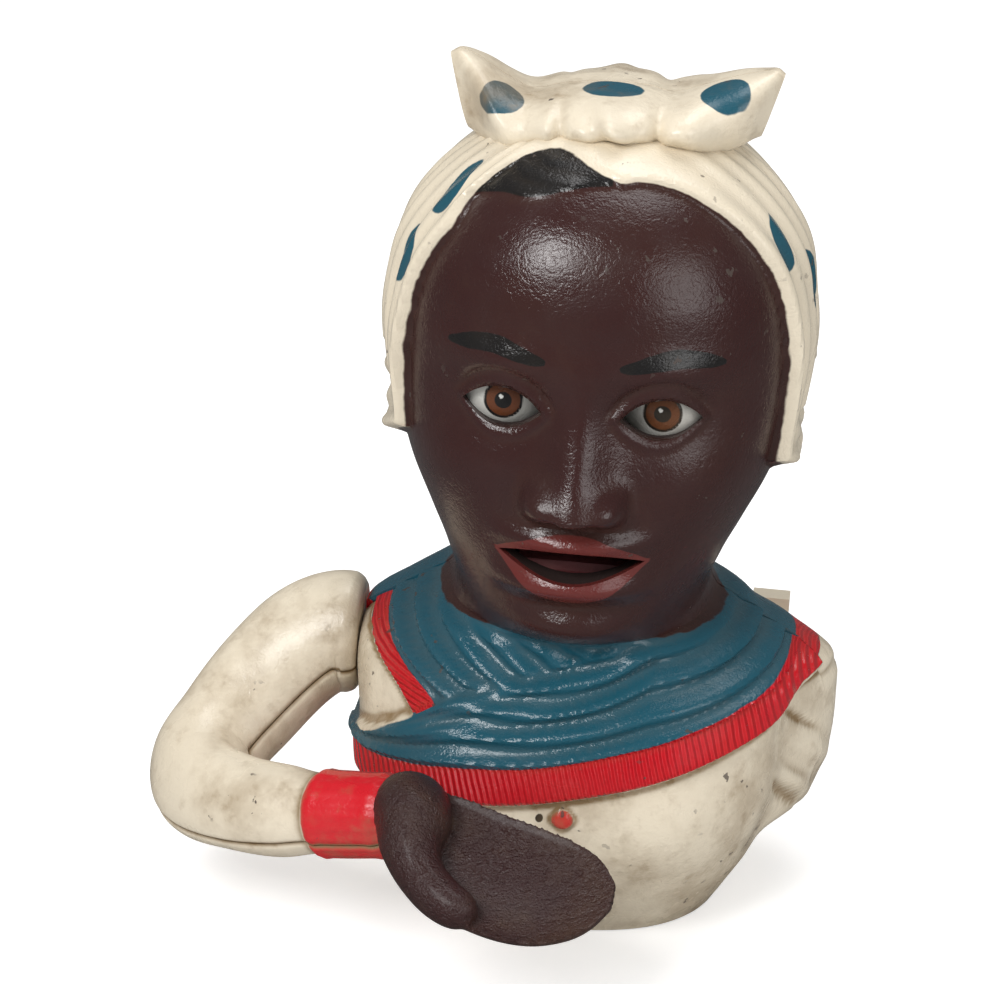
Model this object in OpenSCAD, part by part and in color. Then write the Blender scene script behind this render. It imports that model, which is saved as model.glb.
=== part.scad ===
// Cast-iron mechanical coin bank: a bust with a head wrap and a crossed shawl.
// Pressing the thumb lever lifts the arm to the mouth, rolls the eyes up and tips the tongue back.
// +Z is up and the figure faces -Y. The origin is on the table, under the shoulder shaft.

/* [Bust] */
// Height of the skull's top above the table
head_top = 155; // [150:1:160]
// Height of the chin's underside
chin_z = 61.5; // [60:0.5:63]
// Half width of the wrapped head
head_w = 38.5; // [37:0.5:40]
// Half width of the torso at the bust
torso_w = 43; // [41:0.5:45]
// Half width of the torso at its open foot
foot_w = 31; // [30:0.5:33]
// Depth of the torso's foot ahead of the seam
foot_front = 31; // [29:0.5:33]
// Depth of the torso's foot behind the seam
foot_back = 30; // [28:0.5:32]
// Thickness of the cast wall
wall = 3.2; // [2.6:0.1:3.8]
// Gap left by the rough joint between the two castings
seam = 0.3; // [0.1:0.1:0.6]

/* [Face] */
// Width of each eye opening
eye_w = 15; // [13:0.5:16]
// Height of each eye opening
eye_h = 8; // [6:0.5:9]
// Distance of each eye from the middle
eye_x = 14.6; // [14:0.1:15.5]
// Radius of the rolling eyeballs
eye_r = 9.6; // [9:0.1:10]
// Width of the open mouth, which takes the coin
mouth_w = 27; // [25:0.5:29]
// Height of the open mouth
mouth_h = 6.6; // [5.5:0.1:7.5]

/* [Head wrap and shawl] */
// How far the wrap's cloth stands above the face
wrap_t = 1.8; // [1:0.1:2.5]
// How far the shawl stands above the dress
shawl_t = 1.6; // [1:0.1:2.5]
// Width of the shawl's fringe
fringe_w = 7.4; // [5:0.2:8.4]
// Half width of the knot's two points
knot_w = 31; // [28:0.5:34]
// Height of the knot's points above the table
knot_top = 164; // [161:0.5:167]

/* [Arm] */
// Height of the shoulder shaft
shaft_z = 44; // [43:0.5:45]
// Diameter of the shoulder shaft
shaft_d = 5; // [4:0.2:5.6]
// Radius of the arm at the shoulder
arm_r = 11.5; // [10.5:0.1:12]
// Radius of the cuff
cuff_r = 7.8; // [7.4:0.1:8.4]
// Length of the hand from the cuff to the fingertips
hand_l = 47; // [44:0.5:50]
// Width of the palm
palm_w = 27; // [25:0.5:28]

/* [Mechanism] */
// Throw of the shaft's crank that pulls the drive rod
crank_r = 4.5; // [4.3:0.1:4.7]
// Reach of the tongue's arm to the drive rod
drive_r = 17; // [16.5:0.1:17.5]
// Reach of the two arms that the eye rod joins
eye_link_r = 12; // [11.8:0.1:12.4]
// Throw of the crank that the thumb lever lifts
lift_r = 10; // [9:0.5:11]
// Thickness of the flat links
link_t = 1.8; // [1.4:0.1:2]
// Diameter of the pins that join the links
pin_d = 2.4; // [2:0.1:2.6]
// Thickness of the thumb lever
lever_t = 3; // [2.4:0.1:3.2]

/* [Base] */
// Thickness of the base plate
plate_t = 3; // [2.5:0.1:4]
// Length of the coin trap's slot
trap_l = 27; // [24:0.5:28]
// Width of the coin trap's slot
trap_w = 8; // [6:0.5:9]
// Thickness of the swinging trap cover
cover_t = 1.8; // [1.2:0.1:2.2]
// Diameter of the screws
screw_d = 3; // [2.5:0.1:3.4]

/* [Hidden] */
$fn = 32;
run = 0.1;            // radial clearance of a turning fit
snug = 0.03;          // radial clearance of a fixed fit
slack = 0.3;          // radial clearance where a rod's end hooks on loosely
cream = "#e6dcc2";
skin = "#3b2422";
teal = "#1f5a6b";
red = "#c3202c";
iron = "#55504c";

// ---- curves -------------------------------------------------------------------------------
function clamp(v) = min(max(v, 0), 1);
function ease(v) = let (u = clamp(v)) u * u * (3 - 2 * u);
function bell(d, w) = exp(-(d / w) * (d / w));
function mix(a, b, u) = a + (b - a) * u;
function unit(v) = v / norm(v);

// A smooth curve through a table of [position, value] rows, where a value may be a point
function span(t, p, i = 0) = i >= len(p) - 2 || t < p[i + 1][0] ? i : span(t, p, i + 1);
function slope(p, i) =
    let (a = max(i - 1, 0), b = min(i + 1, len(p) - 1)) (p[b][1] - p[a][1]) / (p[b][0] - p[a][0]);
function curve(t, p) =
    let (i = span(t, p), h = p[i + 1][0] - p[i][0], u = clamp((t - p[i][0]) / h))
    p[i][1] * (1 + 2 * u) * (1 - u) * (1 - u) + slope(p, i) * h * u * (1 - u) * (1 - u)
    + p[i + 1][1] * u * u * (3 - 2 * u) + slope(p, i + 1) * h * u * u * (u - 1);

// A solid through rings of equal count, each listed anticlockwise seen from the last ring's side
module loft(rings) {
    n = len(rings[0]);
    m = len(rings);
    sides = [for (i = [0:m - 2], j = [0:n - 1]) let (k = (j + 1) % n, a = i * n, b = a + n)
        each [[a + j, b + j, b + k], [a + j, b + k, a + k]]];
    polyhedron(points = [for (r = rings) each r],
        faces = concat([[for (j = [0:n - 1]) j]], sides,
            [[for (j = [n - 1:-1:0]) (m - 1) * n + j]]), convexity = 8);
}

// ---- the bust's surface -------------------------------------------------------------------
skull = head_top - chin_z;
function level(u) = chin_z + u * skull;        // height of a share of the head above the chin
shoulder_z = shaft_z + 4;
eye_z = level(0.5);
brow_z = level(0.585);
hair_z = level(0.94);
nose_z = level(0.305);
mouth_z = level(0.2);

half_widths = [[0, foot_w], [4, foot_w + 2.4], [12, foot_w + 6.8], [26, torso_w - 0.6], [shaft_z - 4, torso_w],
    [shoulder_z, torso_w - 0.6], [shoulder_z + 3, torso_w - 2.6], [shoulder_z + 6.5, torso_w - 8],
    [chin_z - 1, head_w - 11.5], [chin_z + 3, head_w - 14], [level(0.12), head_w - 11.5],
    [level(0.2), head_w - 8], [level(0.29), head_w - 4.2], [level(0.38), head_w - 1.8],
    [level(0.5), head_w], [level(0.62), head_w], [level(0.74), head_w - 2.2],
    [level(0.85), head_w - 8], [level(0.93), head_w - 16], [level(0.975), head_w - 25], [head_top, 4]];
front_depths = [[0, foot_front], [4, foot_front + 2.4], [12, foot_front + 6], [26, foot_front + 10.5],
    [38, foot_front + 10.5], [shoulder_z, foot_front + 6.5], [chin_z - 4.5, 32.5], [chin_z - 1, 33.5],
    [chin_z + 1.5, 37], [chin_z + 5, 39.4], [level(0.12), 40.5], [level(0.25), 41.2],
    [level(0.5), 41], [level(0.62), 41.6], [level(0.74), 40.5], [level(0.85), 35.5],
    [level(0.93), 26.5], [level(0.975), 17], [head_top, 4]];
back_depths = [[0, foot_back], [4, foot_back + 2], [14, foot_back + 4.5], [28, foot_back + 4.5],
    [shaft_z, foot_back + 2], [shoulder_z + 4, foot_back - 3.5], [chin_z + 1, 23], [level(0.1), 24.5],
    [level(0.22), 31], [level(0.35), 36], [level(0.5), 38.5], [level(0.62), 38.2],
    [level(0.74), 35.8], [level(0.85), 30], [level(0.93), 22.5], [level(0.975), 14], [head_top, 4]];

// Plain radius of the bust at an angle from the front and a height
function plain_r(a, z) =
    let (w = curve(z, half_widths), d = curve(z, cos(a) >= 0 ? front_depths : back_depths),
        n = z > chin_z ? 2.15 : 2.35)
    pow(pow(abs(sin(a)) / w, n) + pow(abs(cos(a)) / d, n), -1 / n);

// The face's relief at a distance x from the middle line
function nose_bump(x, z) =
    let (down = clamp((brow_z - z) / (brow_z - nose_z)))
    mix(1.2, 9.2, pow(down, 1.25)) * bell(x, mix(4.2, 6.2, down))
        * ease((brow_z + 5 - z) / 8) * ease((z - nose_z + 3.2) / 4.4)
    + 3.6 * bell(x - 6.6, 3) * bell(z - nose_z - 2.4, 3.4);
function lips_bump(x, z) =
    let (c = pow(clamp(1 - pow(x / (mouth_w / 2 + 2.2), 2)), 0.7), lift = mouth_h / 2)
    (2.6 * bell(z - mouth_z - lift - 1.2, 2.2) + 3 * bell(z - mouth_z + lift + 1.6, 2.7)) * c
    + 1.8 * bell(x, 15) * bell(z - mouth_z, 9) - 1.3 * bell(x, 9) * bell(z - level(0.105), 2.6);
function face_bump(x, z) =
    nose_bump(x, z) + lips_bump(x, z)
    + 1.7 * bell(x - 15, 9) * bell(z - brow_z - 1, 4) - 2.2 * bell(x - eye_x, 9.5) * bell(z - eye_z, 6.5)
    + 1.5 * bell(x - 22, 9) * bell(z - level(0.36), 8) + 2.6 * bell(x, 9) * bell(z - level(0.05), 4.5);

// The head wrap: 1 where its cloth covers the head, with folds drawn up towards the knot
function in_wrap(a, z) =
    let (up = max(z - level(0.3), 0) / (hair_z - level(0.3)))
    ease((pow(pow(abs(a) / (a < 0 ? 57 : 64), 3.2) + pow(up, 3.2), 1 / 3.2) - 0.97) / 0.07)
        * ease((z - level(0.29)) / 2.5);
function wrap_bump(a, z) =
    in_wrap(a, z) * (wrap_t + 0.5 * sin(z * 16 - abs(a) * 3) * bell(z - level(0.84), 12)
        + 1.4 * bell(z - level(0.33), 4) * ease((abs(a) - 50) / 12));

// The shawl: two bands cross on the chest, and the upper one's hem carries the fringe
hem = [[-44, 24], [-39, 25], [-30, 27.4], [-18, 29.8], [-5, 31.7], [7.5, 34.5], [20, 37.7], [32, 41.4], [39.6, 44], [44, 47]];
over_edge = [[-44, 31.5], [-37, 37.2], [-26.7, 44.4], [-18.3, 49.9], [-9, 53], [0, 56.5], [10, 62], [44, 90]];
under_edge = [[20, 0], [40, -24.5], [44.2, -28.5], [48, -32.6], [51, -38], [54, -44], [60, -52]];
function in_shawl(x, z) =
    ease((z - curve(x, hem)) / 1.2)
    * max(ease((curve(x, over_edge) - z) / 1.2), ease((x - curve(z, under_edge)) / 1.2));
function shawl_bump(x, z) =
    let (over = ease((curve(x, over_edge) - z) / 1.2), on_fringe = z < curve(x, hem) + fringe_w)
    in_shawl(x, z) * (shawl_t + 0.9 * over
        + (on_fringe ? -0.5 : 0.55 * sin((z - 0.42 * x) * 68) * bell(z - 45, 14)));
function shawl_back(x, z) = shawl_t * ease((z - 30 - 15 * pow(abs(x) / torso_w, 2)) / 1.4);
// The figure's left upper arm hangs at its side and belongs to both castings
function left_sleeve(a, z) =
    (8.4 * bell(a - 104, 20) - 1.8 * bell(a - 74, 9)) * ease((z - 10) / 6) * ease((shoulder_z + 5 - z) / 12);
function torso_bump(a, x, z) =
    (cos(a) < 0 ? shawl_back(x, z)
        : shawl_bump(x, z) + 2.4 * (bell(x - 19, 13) + bell(x + 19, 13)) * bell(z - 24, 11))
        * ease((chin_z - z) / 3)
    + left_sleeve(a < -90 ? a + 360 : a, z) - 2.4 * bell(a > 180 ? a - 274 : a + 86, 22) * bell(z - 28, 11);

function bump(a, z) =
    let (r = plain_r(a, z), x = r * sin(a))
    (z > chin_z - 1 && cos(a) > 0
        ? face_bump(abs(x), z) * (1 - in_wrap(a, z)) * ease((z - chin_z + 1) / 2) : 0)
    + (z > level(0.25) ? wrap_bump(a > 180 ? a - 360 : a, z) : 0)
    + (z < chin_z ? torso_bump(a, x, z) : 0);
function on_bust(a, z, off = 0) =
    let (b = bump(a, z), r = plain_r(a, z) + (off > 0 ? min(0, b) - off : b)) [r * sin(a), -r * cos(a), z];

face_rows = [for (z = [0, 2, 4.5]) z, for (z = [8:4:24]) z, for (z = [27:2.6:chin_z - 3]) z,
    for (u = [-0.012:0.021:0.88]) level(u), for (u = [0.9, 0.93, 0.955, 0.975, 0.99, 1]) level(u)];
back_rows = [0, 2, 5, 9, 15, 22, 28, 34, 40, shaft_z, shoulder_z, shoulder_z + 2.5, shoulder_z + 5,
    chin_z - 3, chin_z, chin_z + 3.5, for (u = [0.08:0.06:0.9]) level(u),
    for (u = [0.93, 0.955, 0.975, 0.99, 1]) level(u)];
inner_rows = [-1, 5, 12, 26, 38, shoulder_z - 2, chin_z - 4.5, chin_z, level(0.06), level(0.14),
    level(0.24), level(0.38), level(0.5), level(0.64), level(0.78), level(0.88), level(0.94)];
// Even steps across a half turn, or steps that come closer together at the middle
function even(n) = [for (i = [0:n]) -90 + 180 * i / n];
function dense(n) = [for (i = [0:n]) let (t = 2 * i / n - 1) 90 * (0.62 * t + 0.38 * t * t * t)];

module half_bust(start, angles, rows, off) {
    loft([for (z = rows) [for (a = angles) on_bust(start + a, z, off)]]);
}

// ---- places in the mechanism ---------------------------------------------------------------
// Angles turn from the front (-Y) upwards, as every joint does.
function at(p, r, a) = [p[0] - r * cos(a), p[1] + r * sin(a)];     // [y, z] at a reach and an angle
shaft_at = [0, shaft_z];
tongue_at = [-29, chin_z + 6];
eye_at = [-25.4, eye_z];
crank_at = at(shaft_at, crank_r, 195);
drive_at = at(tongue_at, drive_r, 207.5);
tongue_link_at = at(tongue_at, eye_link_r, 180);
eye_tail_at = at(eye_at, eye_link_r, 180);
lever_at = [11, shaft_z];
lift_at = at(shaft_at, lift_r, -40);
arm_face = torso_w - 0.6;             // the arm's flat shoulder lies this far from the middle
boss_face = arm_face - 0.4;
arm_socket = 9.6;                     // how far the shaft's square end reaches into the arm
drive_x = 5.4;                        // planes of the drive rod and of the eye rod
eye_rod_x = 13.2;
lever_inset = 11.5;
lever_x = torso_w - lever_inset;
bearing_x = lever_x - 11.5;           // the shaft's far bearing clears the crank for the lever
lever_rise = -4;                      // the pad end of the lever falls this many degrees at rest
eye_gap = 5.6;                        // from the middle to each eye's inner flat
lug_x = eye_x + eye_r + 0.6;
tongue_w = mouth_w - 6;
tongue_top = mouth_z - mouth_h / 2;
head_screw_z = level(0.77);
body_screw = [13 - torso_w, 19];
head_seat = foot_back;                 // how far back the long screws' heads sit
body_seat = foot_back - 7;
bore = 20;                             // reach of the front casting's threaded holes ahead of the seam
plate_z = 4;
trap_at = [0, -14];
rivet_x = 19;
base_screw_y = 8;
base_screw_x = foot_w - 6.5;

// A cylinder along X, or along Y towards the back
module bar_x(x0, x1, d, p) { translate([x0, p[0], p[1]]) rotate([0, 90, 0]) cylinder(h = x1 - x0, d = d); }
module bar_y(y0, y1, d, x, z) { translate([x, y0, z]) rotate([-90, 0, 0]) cylinder(h = y1 - y0, d = d); }
// An upright box between two corners
module block(a, b) { translate(a) cube(b - a); }
// A plate square to X, from an outline drawn in Y and Z
module plate(x, t) { translate([x, 0, 0]) rotate([90, 0, 90]) linear_extrude(t) children(); }
// Outline of a flat link from one pin to another, and of the round hole for a pin
module strap(p, q, w) {
    translate(p) circle(d = w);
    translate(q) circle(d = w);
    translate(p) rotate(atan2(q[1] - p[1], q[0] - p[0])) translate([0, -w * 0.36]) square([norm(q - p), w * 0.72]);
}
module hole(p, d) { translate(p) circle(d = d); }

// ---- castings ------------------------------------------------------------------------------
// The knot stands on the head; each casting carries its own half
knot_tops = [[-1, -1.2], [-0.94, 0], [-0.8, -2], [-0.62, -5], [-0.46, -5.6], [-0.26, -3], [-0.1, -1.6],
    [0.06, -1.4], [0.22, -2.6], [0.4, -4.6], [0.6, -4.4], [0.8, -2.4], [0.95, -0.2], [1, -0.8]];
knot_feet = [[-1, -6], [-0.8, -9.5], [-0.4, -6.5], [0, -3.5], [0.4, -4.5], [0.8, -6], [1, -3]];        // from the skull's top
knot_depths = [[-1, 3], [-0.9, 7], [-0.7, 12.5], [-0.4, 16.4], [-0.24, 17], [0, 20], [0.24, 17],
    [0.4, 16.4], [0.7, 12.5], [0.9, 7], [1, 3]];
module knot(side) {
    loft([for (u = [-1, -0.97, -0.9, -0.8, -0.68, -0.54, -0.4, -0.26, -0.13, 0, 0.13, 0.26, 0.4, 0.54, 0.68, 0.8, 0.9, 0.97, 1])
        let (top = knot_top + curve(u, knot_tops), foot = head_top + curve(u, knot_feet),
            d = curve(u, knot_depths), mid = (top + foot) / 2, h = (top - foot) / 2)
        [for (i = [0:10]) let (a = -90 + 18 * i)
            [u * (knot_w - 0.3 * (top - mid - side * h * sin(a))), side * pow(max(cos(a), 0), 0.8) * d, mid + side * h * sin(a)]]]);
}
// Half of every hole and bearing lies in each casting, so both take the same cuts
module shared_cuts() {
    bar_x(-torso_w - 12, -boss_face, 32, shaft_at);
    bar_x(-torso_w - 1, -boss_face + 9, shaft_d + 2 * run, shaft_at);
    bar_x(bearing_x - 1, bearing_x + 5, shaft_d + 2 * run, shaft_at);
}
module bearings(side) {
    intersection() {
        union() {
            bar_x(-boss_face - 1, -boss_face + 8, 13, shaft_at);
            block([bearing_x, -38, shaft_z - 6], [bearing_x + 4, 38, shaft_z + 6]);
        }
        block([-60, side > 0 ? seam / 2 : -33, 0], [60, side > 0 ? 27 : -seam / 2, 80]);
    }
}
// Lens outline of an eye or of the mouth, with corners that rise by c
module lens(w, h, c) {
    polygon([for (i = [-10:10]) [i / 10 * w / 2, h / 2 * (1 - i * i / 100) + c * i * i / 100],
        for (i = [9:-1:-9]) [i / 10 * w / 2, -h / 2 * (1 - i * i / 100) + c * i * i / 100]]);
}
module through_face(x, z) { translate([x, -29, z]) rotate([90, 0, 0]) linear_extrude(34) children(); }
// Lugs inside the face carry the eyes' axle and the tongue's pin
module face_lugs() {
    for (s = [-1, 1]) {
        block([s * (lug_x + 1.8) - 1.8, eye_at[0] - 2, eye_z - 5], [s * (lug_x + 1.8) + 1.8, eye_at[0] + 3.4, eye_z + 5]);
        block([s * (tongue_w / 2) - 1.8, -32.4, tongue_at[1] - 4], [s * (tongue_w / 2) + 1.8, tongue_at[0] + 4, tongue_at[1] + 4]);
    }
}
module front_casting() {
    color(cream) difference() {
        union() {
            difference() {
                union() {
                    translate([0, -seam / 2, 0]) half_bust(0, dense(40), face_rows, 0);
                    translate([0, -seam / 2, 0]) knot(-1);
                }
                half_bust(0, even(18), inner_rows, wall);
            }
            bearings(-1);
            face_lugs();
            bar_y(-foot_front - 5, -seam / 2, 9, 0, head_screw_z);
            bar_y(3 - foot_front, -seam / 2, 8, body_screw[0], body_screw[1]);
            screw_boss(-1);
        }
        shared_cuts();
        through_face(0, mouth_z) lens(mouth_w, mouth_h, 0.8);
        for (s = [-1, 1]) {
            through_face(s * eye_x, eye_z) lens(eye_w, eye_h, 0);
            translate([s * eye_x, eye_at[0], eye_z]) sphere(r = eye_r + slack);
        }
        bar_x(-lug_x - 3.2, lug_x + 3.2, pin_d + 2 * run, eye_at);
        bar_x(-tongue_w / 2 - 2.5, tongue_w / 2 + 2.5, pin_d + 2 * snug, tongue_at);
        bar_y(3 - bore, 1, screw_d + 2 * snug, 0, head_screw_z);
        bar_y(3 - bore, 1, screw_d + 2 * snug, body_screw[0], body_screw[1]);
        base_screw_hole(-1);
    }
}
module back_casting() {
    color(cream) difference() {
        union() {
            difference() {
                union() {
                    translate([0, seam / 2, 0]) half_bust(180, even(28), back_rows, 0);
                    translate([0, seam / 2, 0]) knot(1);
                }
                half_bust(180, even(18), inner_rows, wall);
            }
            bearings(1);
            bar_y(seam / 2, head_seat + 1, 9, 0, head_screw_z);
            bar_y(seam / 2, body_seat + 2, 8, body_screw[0], body_screw[1]);
            screw_boss(1);
            bar_x(lever_x + lever_t + 0.6, torso_w, 10, lever_at);
        }
        shared_cuts();
        block([lever_x - 0.6, 7, shaft_z - 11], [lever_x + lever_t + 0.6, 45, shaft_z + 5.4]);
        bar_x(lever_x, lever_x + lever_t + 5, screw_d + 2 * snug, lever_at);
        bar_y(0, head_seat + bore, screw_d + 2 * run, 0, head_screw_z);
        bar_y(0, body_seat + bore, screw_d + 2 * run, body_screw[0], body_screw[1]);
        bar_y(head_seat, head_seat + bore, 2 * screw_d + 1, 0, head_screw_z);
        bar_y(body_seat, body_seat + bore, 2 * screw_d + 1, body_screw[0], body_screw[1]);
        base_screw_hole(1);
    }
}
// Bosses inside the foot take the base plate's two screws
module screw_boss(side) {
    x = side * base_screw_x;
    y = side * base_screw_y;
    translate([x, y, plate_z + plate_t]) cylinder(h = 9, d = 9);
    block([min(x, x + side * 9), y - 3, plate_z + plate_t], [max(x, x + side * 9), y + 3, plate_z + plate_t + 9]);
}
module base_screw_hole(side) {
    translate([side * base_screw_x, side * base_screw_y, plate_z]) cylinder(h = plate_t + 7, d = screw_d + 2 * snug);
}

// ---- base ----------------------------------------------------------------------------------
function foot_r(a) = plain_r(a, 1) - wall - 0.5;
module base_plate() {
    color(iron) difference() {
        translate([0, 0, plate_z]) linear_extrude(plate_t - 0.05)
            polygon([for (a = [0:6:354]) [foot_r(a > 180 ? a - 360 : a) * sin(a), -foot_r(a > 180 ? a - 360 : a) * cos(a)]]);
        translate([trap_at[0], trap_at[1], plate_z - 1]) slot(trap_l - trap_w, trap_w / 2, plate_t + 2);
        for (s = [-1, 1]) translate([s * base_screw_x, s * base_screw_y, 0]) cylinder(h = 20, d = screw_d + 2 * run);
        translate([rivet_x, trap_at[1], 0]) cylinder(h = 20, d = screw_d + 1 + 2 * snug);
    }
}
// A flat slab with round ends, centred, along X
module slot(l, r, h) {
    translate([-l / 2, -r, 0]) cube([l, 2 * r, h]);
    for (s = [-1, 1]) translate([s * l / 2, 0, 0]) cylinder(h = h, r = r);
}
module trap_cover() {
    l = rivet_x + trap_l / 2 - trap_w / 2 + 3;
    color(iron) difference() {
        translate([rivet_x - l / 2, trap_at[1], plate_z - cover_t - 0.1]) slot(l, trap_w / 2 + 2.6, cover_t);
        translate([rivet_x, trap_at[1], 0]) cylinder(h = 9, d = screw_d + 1 + 2 * run);
    }
}
module trap_rivet() {
    color(iron) translate([rivet_x, trap_at[1], 0]) {
        translate([0, 0, plate_z - cover_t - 1.3]) cylinder(h = 1.1, d = screw_d + 4.5);
        translate([0, 0, plate_z - cover_t - 1]) cylinder(h = plate_t + cover_t + 1.5, d = screw_d + 1);
        translate([0, 0, plate_z + plate_t]) cylinder(h = 1, d = screw_d + 3.5);
    }
}
module base_screw(side) {
    color(iron) translate([side * base_screw_x, side * base_screw_y, 0]) difference() {
        union() {
            translate([0, 0, plate_z]) cylinder(h = plate_t + 6, d = screw_d);
            translate([0, 0, plate_z - 2]) cylinder(h = 2, d = 2 * screw_d);
        }
        translate([-5, -0.5, plate_z - 3]) cube([10, 1, 1.8]);
    }
}
// Long screws draw the two castings together from the back
module long_screw(x, z, y0, y1) {
    color(iron) difference() {
        union() {
            bar_y(y0, y1, screw_d, x, z);
            bar_y(y1, y1 + 2, 2 * screw_d, x, z);
        }
        block([x - 5, y1 + 1, z - 0.5], [x + 5, y1 + 3, z + 0.5]);
    }
}

// ---- moving arm ----------------------------------------------------------------------------
arm_path = [[0, [-arm_face, 0, shaft_z]], [1, [-torso_w - 4.4, 0, shaft_z - 0.2]], [2, [-torso_w - 10, -1.6, 41]],
    [3, [-torso_w - 16.6, -6, 35]], [4, [-66, -13, 28]], [5, [-69.4, -21.6, 23.4]],
    [6, [-66, -30.6, 22]], [7, [-58.8, -37.4, 23]], [8, [-50.2, -42.4, 25]],
    [9, [-41, -46.6, 27.4]], [10, [-31.8, -50.2, 29.8]]];
arm_radii = [[0, arm_r - 0.3], [0.5, arm_r + 0.3], [2, arm_r], [3, arm_r - 0.5], [4, arm_r - 0.9], [5, arm_r - 1.2],
    [6, arm_r - 1.7], [7, arm_r - 2.5], [8, cuff_r + 0.2], [8.4, cuff_r - 0.3], [8.55, cuff_r + 0.3], [9.8, cuff_r], [10, cuff_r - 0.4]];
arm_stations = [0, 0.25, 0.6, 1, 1.5, 2, 2.5, 3, 3.5, 4, 4.5, 5, 5.5, 6, 6.5, 7, 7.5, 8, 8.4, 8.6, 9.8, 10];
parting = unit([-0.465, -0.303, 0.832]);
function heading(t) = t <= 0 ? [-1, 0, 0] :
    unit(mix([-1, 0, 0], unit(curve(min(t + 0.1, 10), arm_path) - curve(t - 0.1, arm_path)), ease(t / 1.8)));
function arm_v(t) = unit(parting - (parting * heading(t)) * heading(t));
function arm_u(t) = cross(arm_v(t), heading(t));
module arm_half(side) {
    loft([for (t = arm_stations) let (c = curve(t, arm_path), r = curve(t, arm_radii), u = arm_u(t), v = arm_v(t))
        [for (i = [0:12]) let (a = 15 * i + (side > 0 ? 0 : 180)) c + r * cos(a) * u + (r * sin(a) + side * seam / 2) * v]]);
}
// Places its children at a station, with X and Y across the arm, Y out of the parting face
module on_arm(t) {
    c = curve(t, arm_path);
    u = arm_u(t);
    v = arm_v(t);
    h = heading(t);
    multmatrix([[u[0], v[0], h[0], c[0]], [u[1], v[1], h[1], c[1]], [u[2], v[2], h[2], c[2]], [0, 0, 0, 1]]) children();
}
rivet_stations = [2.6, 7.2];
module arm_sockets() {
    block([-arm_face - arm_socket - 0.2, -2.2 - snug, shaft_z - 2.2 - snug], [-arm_face + 1, 2.2 + snug, shaft_z + 2.2 + snug]);
    on_arm(10) translate([0, 0, -10.2]) cylinder(h = 12, d = 6 + 2 * snug);
    for (t = rivet_stations) on_arm(t) rotate([90, 0, 0]) {
        translate([0, 0, -4.2]) cylinder(h = 20, d = screw_d + 2 * snug);
        translate([0, 0, curve(t, arm_radii) - 1.6]) cylinder(h = 9, d = 2 * screw_d + 0.2);
    }
}
module arm_upper_half() { color(cream) difference() { arm_half(1); arm_sockets(); } }
module arm_lower_half() { color(cream) difference() { arm_half(-1); arm_sockets(); } }
module arm_rivets() {
    color(iron) for (t = rivet_stations) on_arm(t) rotate([90, 0, 0]) {
        translate([0, 0, -4]) cylinder(h = curve(t, arm_radii) + 3, d = screw_d);
        translate([0, 0, curve(t, arm_radii) - 1.6]) cylinder(h = 1.2, d = 2 * screw_d);
    }
}

// ---- hand ----------------------------------------------------------------------------------
// The palm is a shallow dish; the heel and the thumb run round its near side as one tapering roll
palm_path = [[0, [6, -4.6, 1]], [0.12, [8.5, -6.8, 0.3]], [0.3, [14.5, -11, -1]], [0.5, [23, -14.6, -2.4]],
    [0.7, [32, -16.8, -3.2]], [0.87, [39.8, -17.6, -3.3]], [1, [45.4, -17.6, -3.3]]];
palm_widths = [[0, 4], [0.06, 7.5], [0.16, palm_w / 2 - 3], [0.3, palm_w / 2 - 0.6], [0.48, palm_w / 2],
    [0.68, palm_w / 2 - 0.7], [0.84, palm_w / 2 - 3.2], [0.93, palm_w / 2 - 6.4], [1, 2.6]];
palm_bellies = [[0, 4], [0.1, 6], [0.35, 6], [0.6, 5.4], [0.85, 4], [0.95, 2.8], [1, 1.4]];
palm_dishes = [[0, 0], [0.1, 1], [0.3, 2.6], [0.55, 2.8], [0.8, 2.2], [0.94, 1], [1, 0.2]];
palm_u = unit([0.06, 0.88, 0.47]);
palm_v = unit([0, -0.47, 0.88]);
thumb_path = [[0, [0.2, -0.1, 0]], [0.14, [4.4, -2.8, 2.6]], [0.28, [6.8, -7, 2.8]], [0.42, [7.2, -12, 0.6]],
    [0.58, [9.6, -17, -2.4]], [0.78, [14.4, -21.6, -5]], [1, [20.6, -25, -6.4]]];
thumb_radii = [[0, cuff_r - 1], [0.14, 7.6], [0.28, 7.2], [0.42, 5.8], [0.58, 4.6], [0.78, 4.2], [0.92, 3.6], [0.98, 2.2], [1, 0.9]];
function from_wrist(v) = curve(10, arm_path) + 0.15 * heading(10) + v * hand_l / 47;
function palm_ring(t) =
    let (c = from_wrist(curve(t, palm_path)), w = curve(t, palm_widths), belly = curve(t, palm_bellies),
        dish = curve(t, palm_dishes))
    concat([for (i = [0:11]) let (s = cos(180 * i / 11), q = sqrt(max(0, 1 - s * s))) c + w * s * palm_u + (1.2 - dish * q) * palm_v],
        [for (i = [1:9]) let (s = -cos(18 * i), q = sqrt(max(0, 1 - s * s))) c + w * s * palm_u - belly * q * palm_v]);
function thumb_ring(t) =
    let (c = from_wrist(curve(t, thumb_path)), r = curve(t, thumb_radii) * hand_l / 47,
        h = t <= 0 ? heading(10) : unit(mix(heading(10), unit(curve(min(t + 0.02, 1), thumb_path) - curve(min(t, 0.98) - 0.02, thumb_path)), ease(t / 0.12))),
        v = unit([0, 0, 1] - h[2] * h), u = cross(v, h))
    [for (i = [0:15]) let (a = 22.5 * i) c + r * cos(a) * u + r * sin(a) * v];
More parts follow.
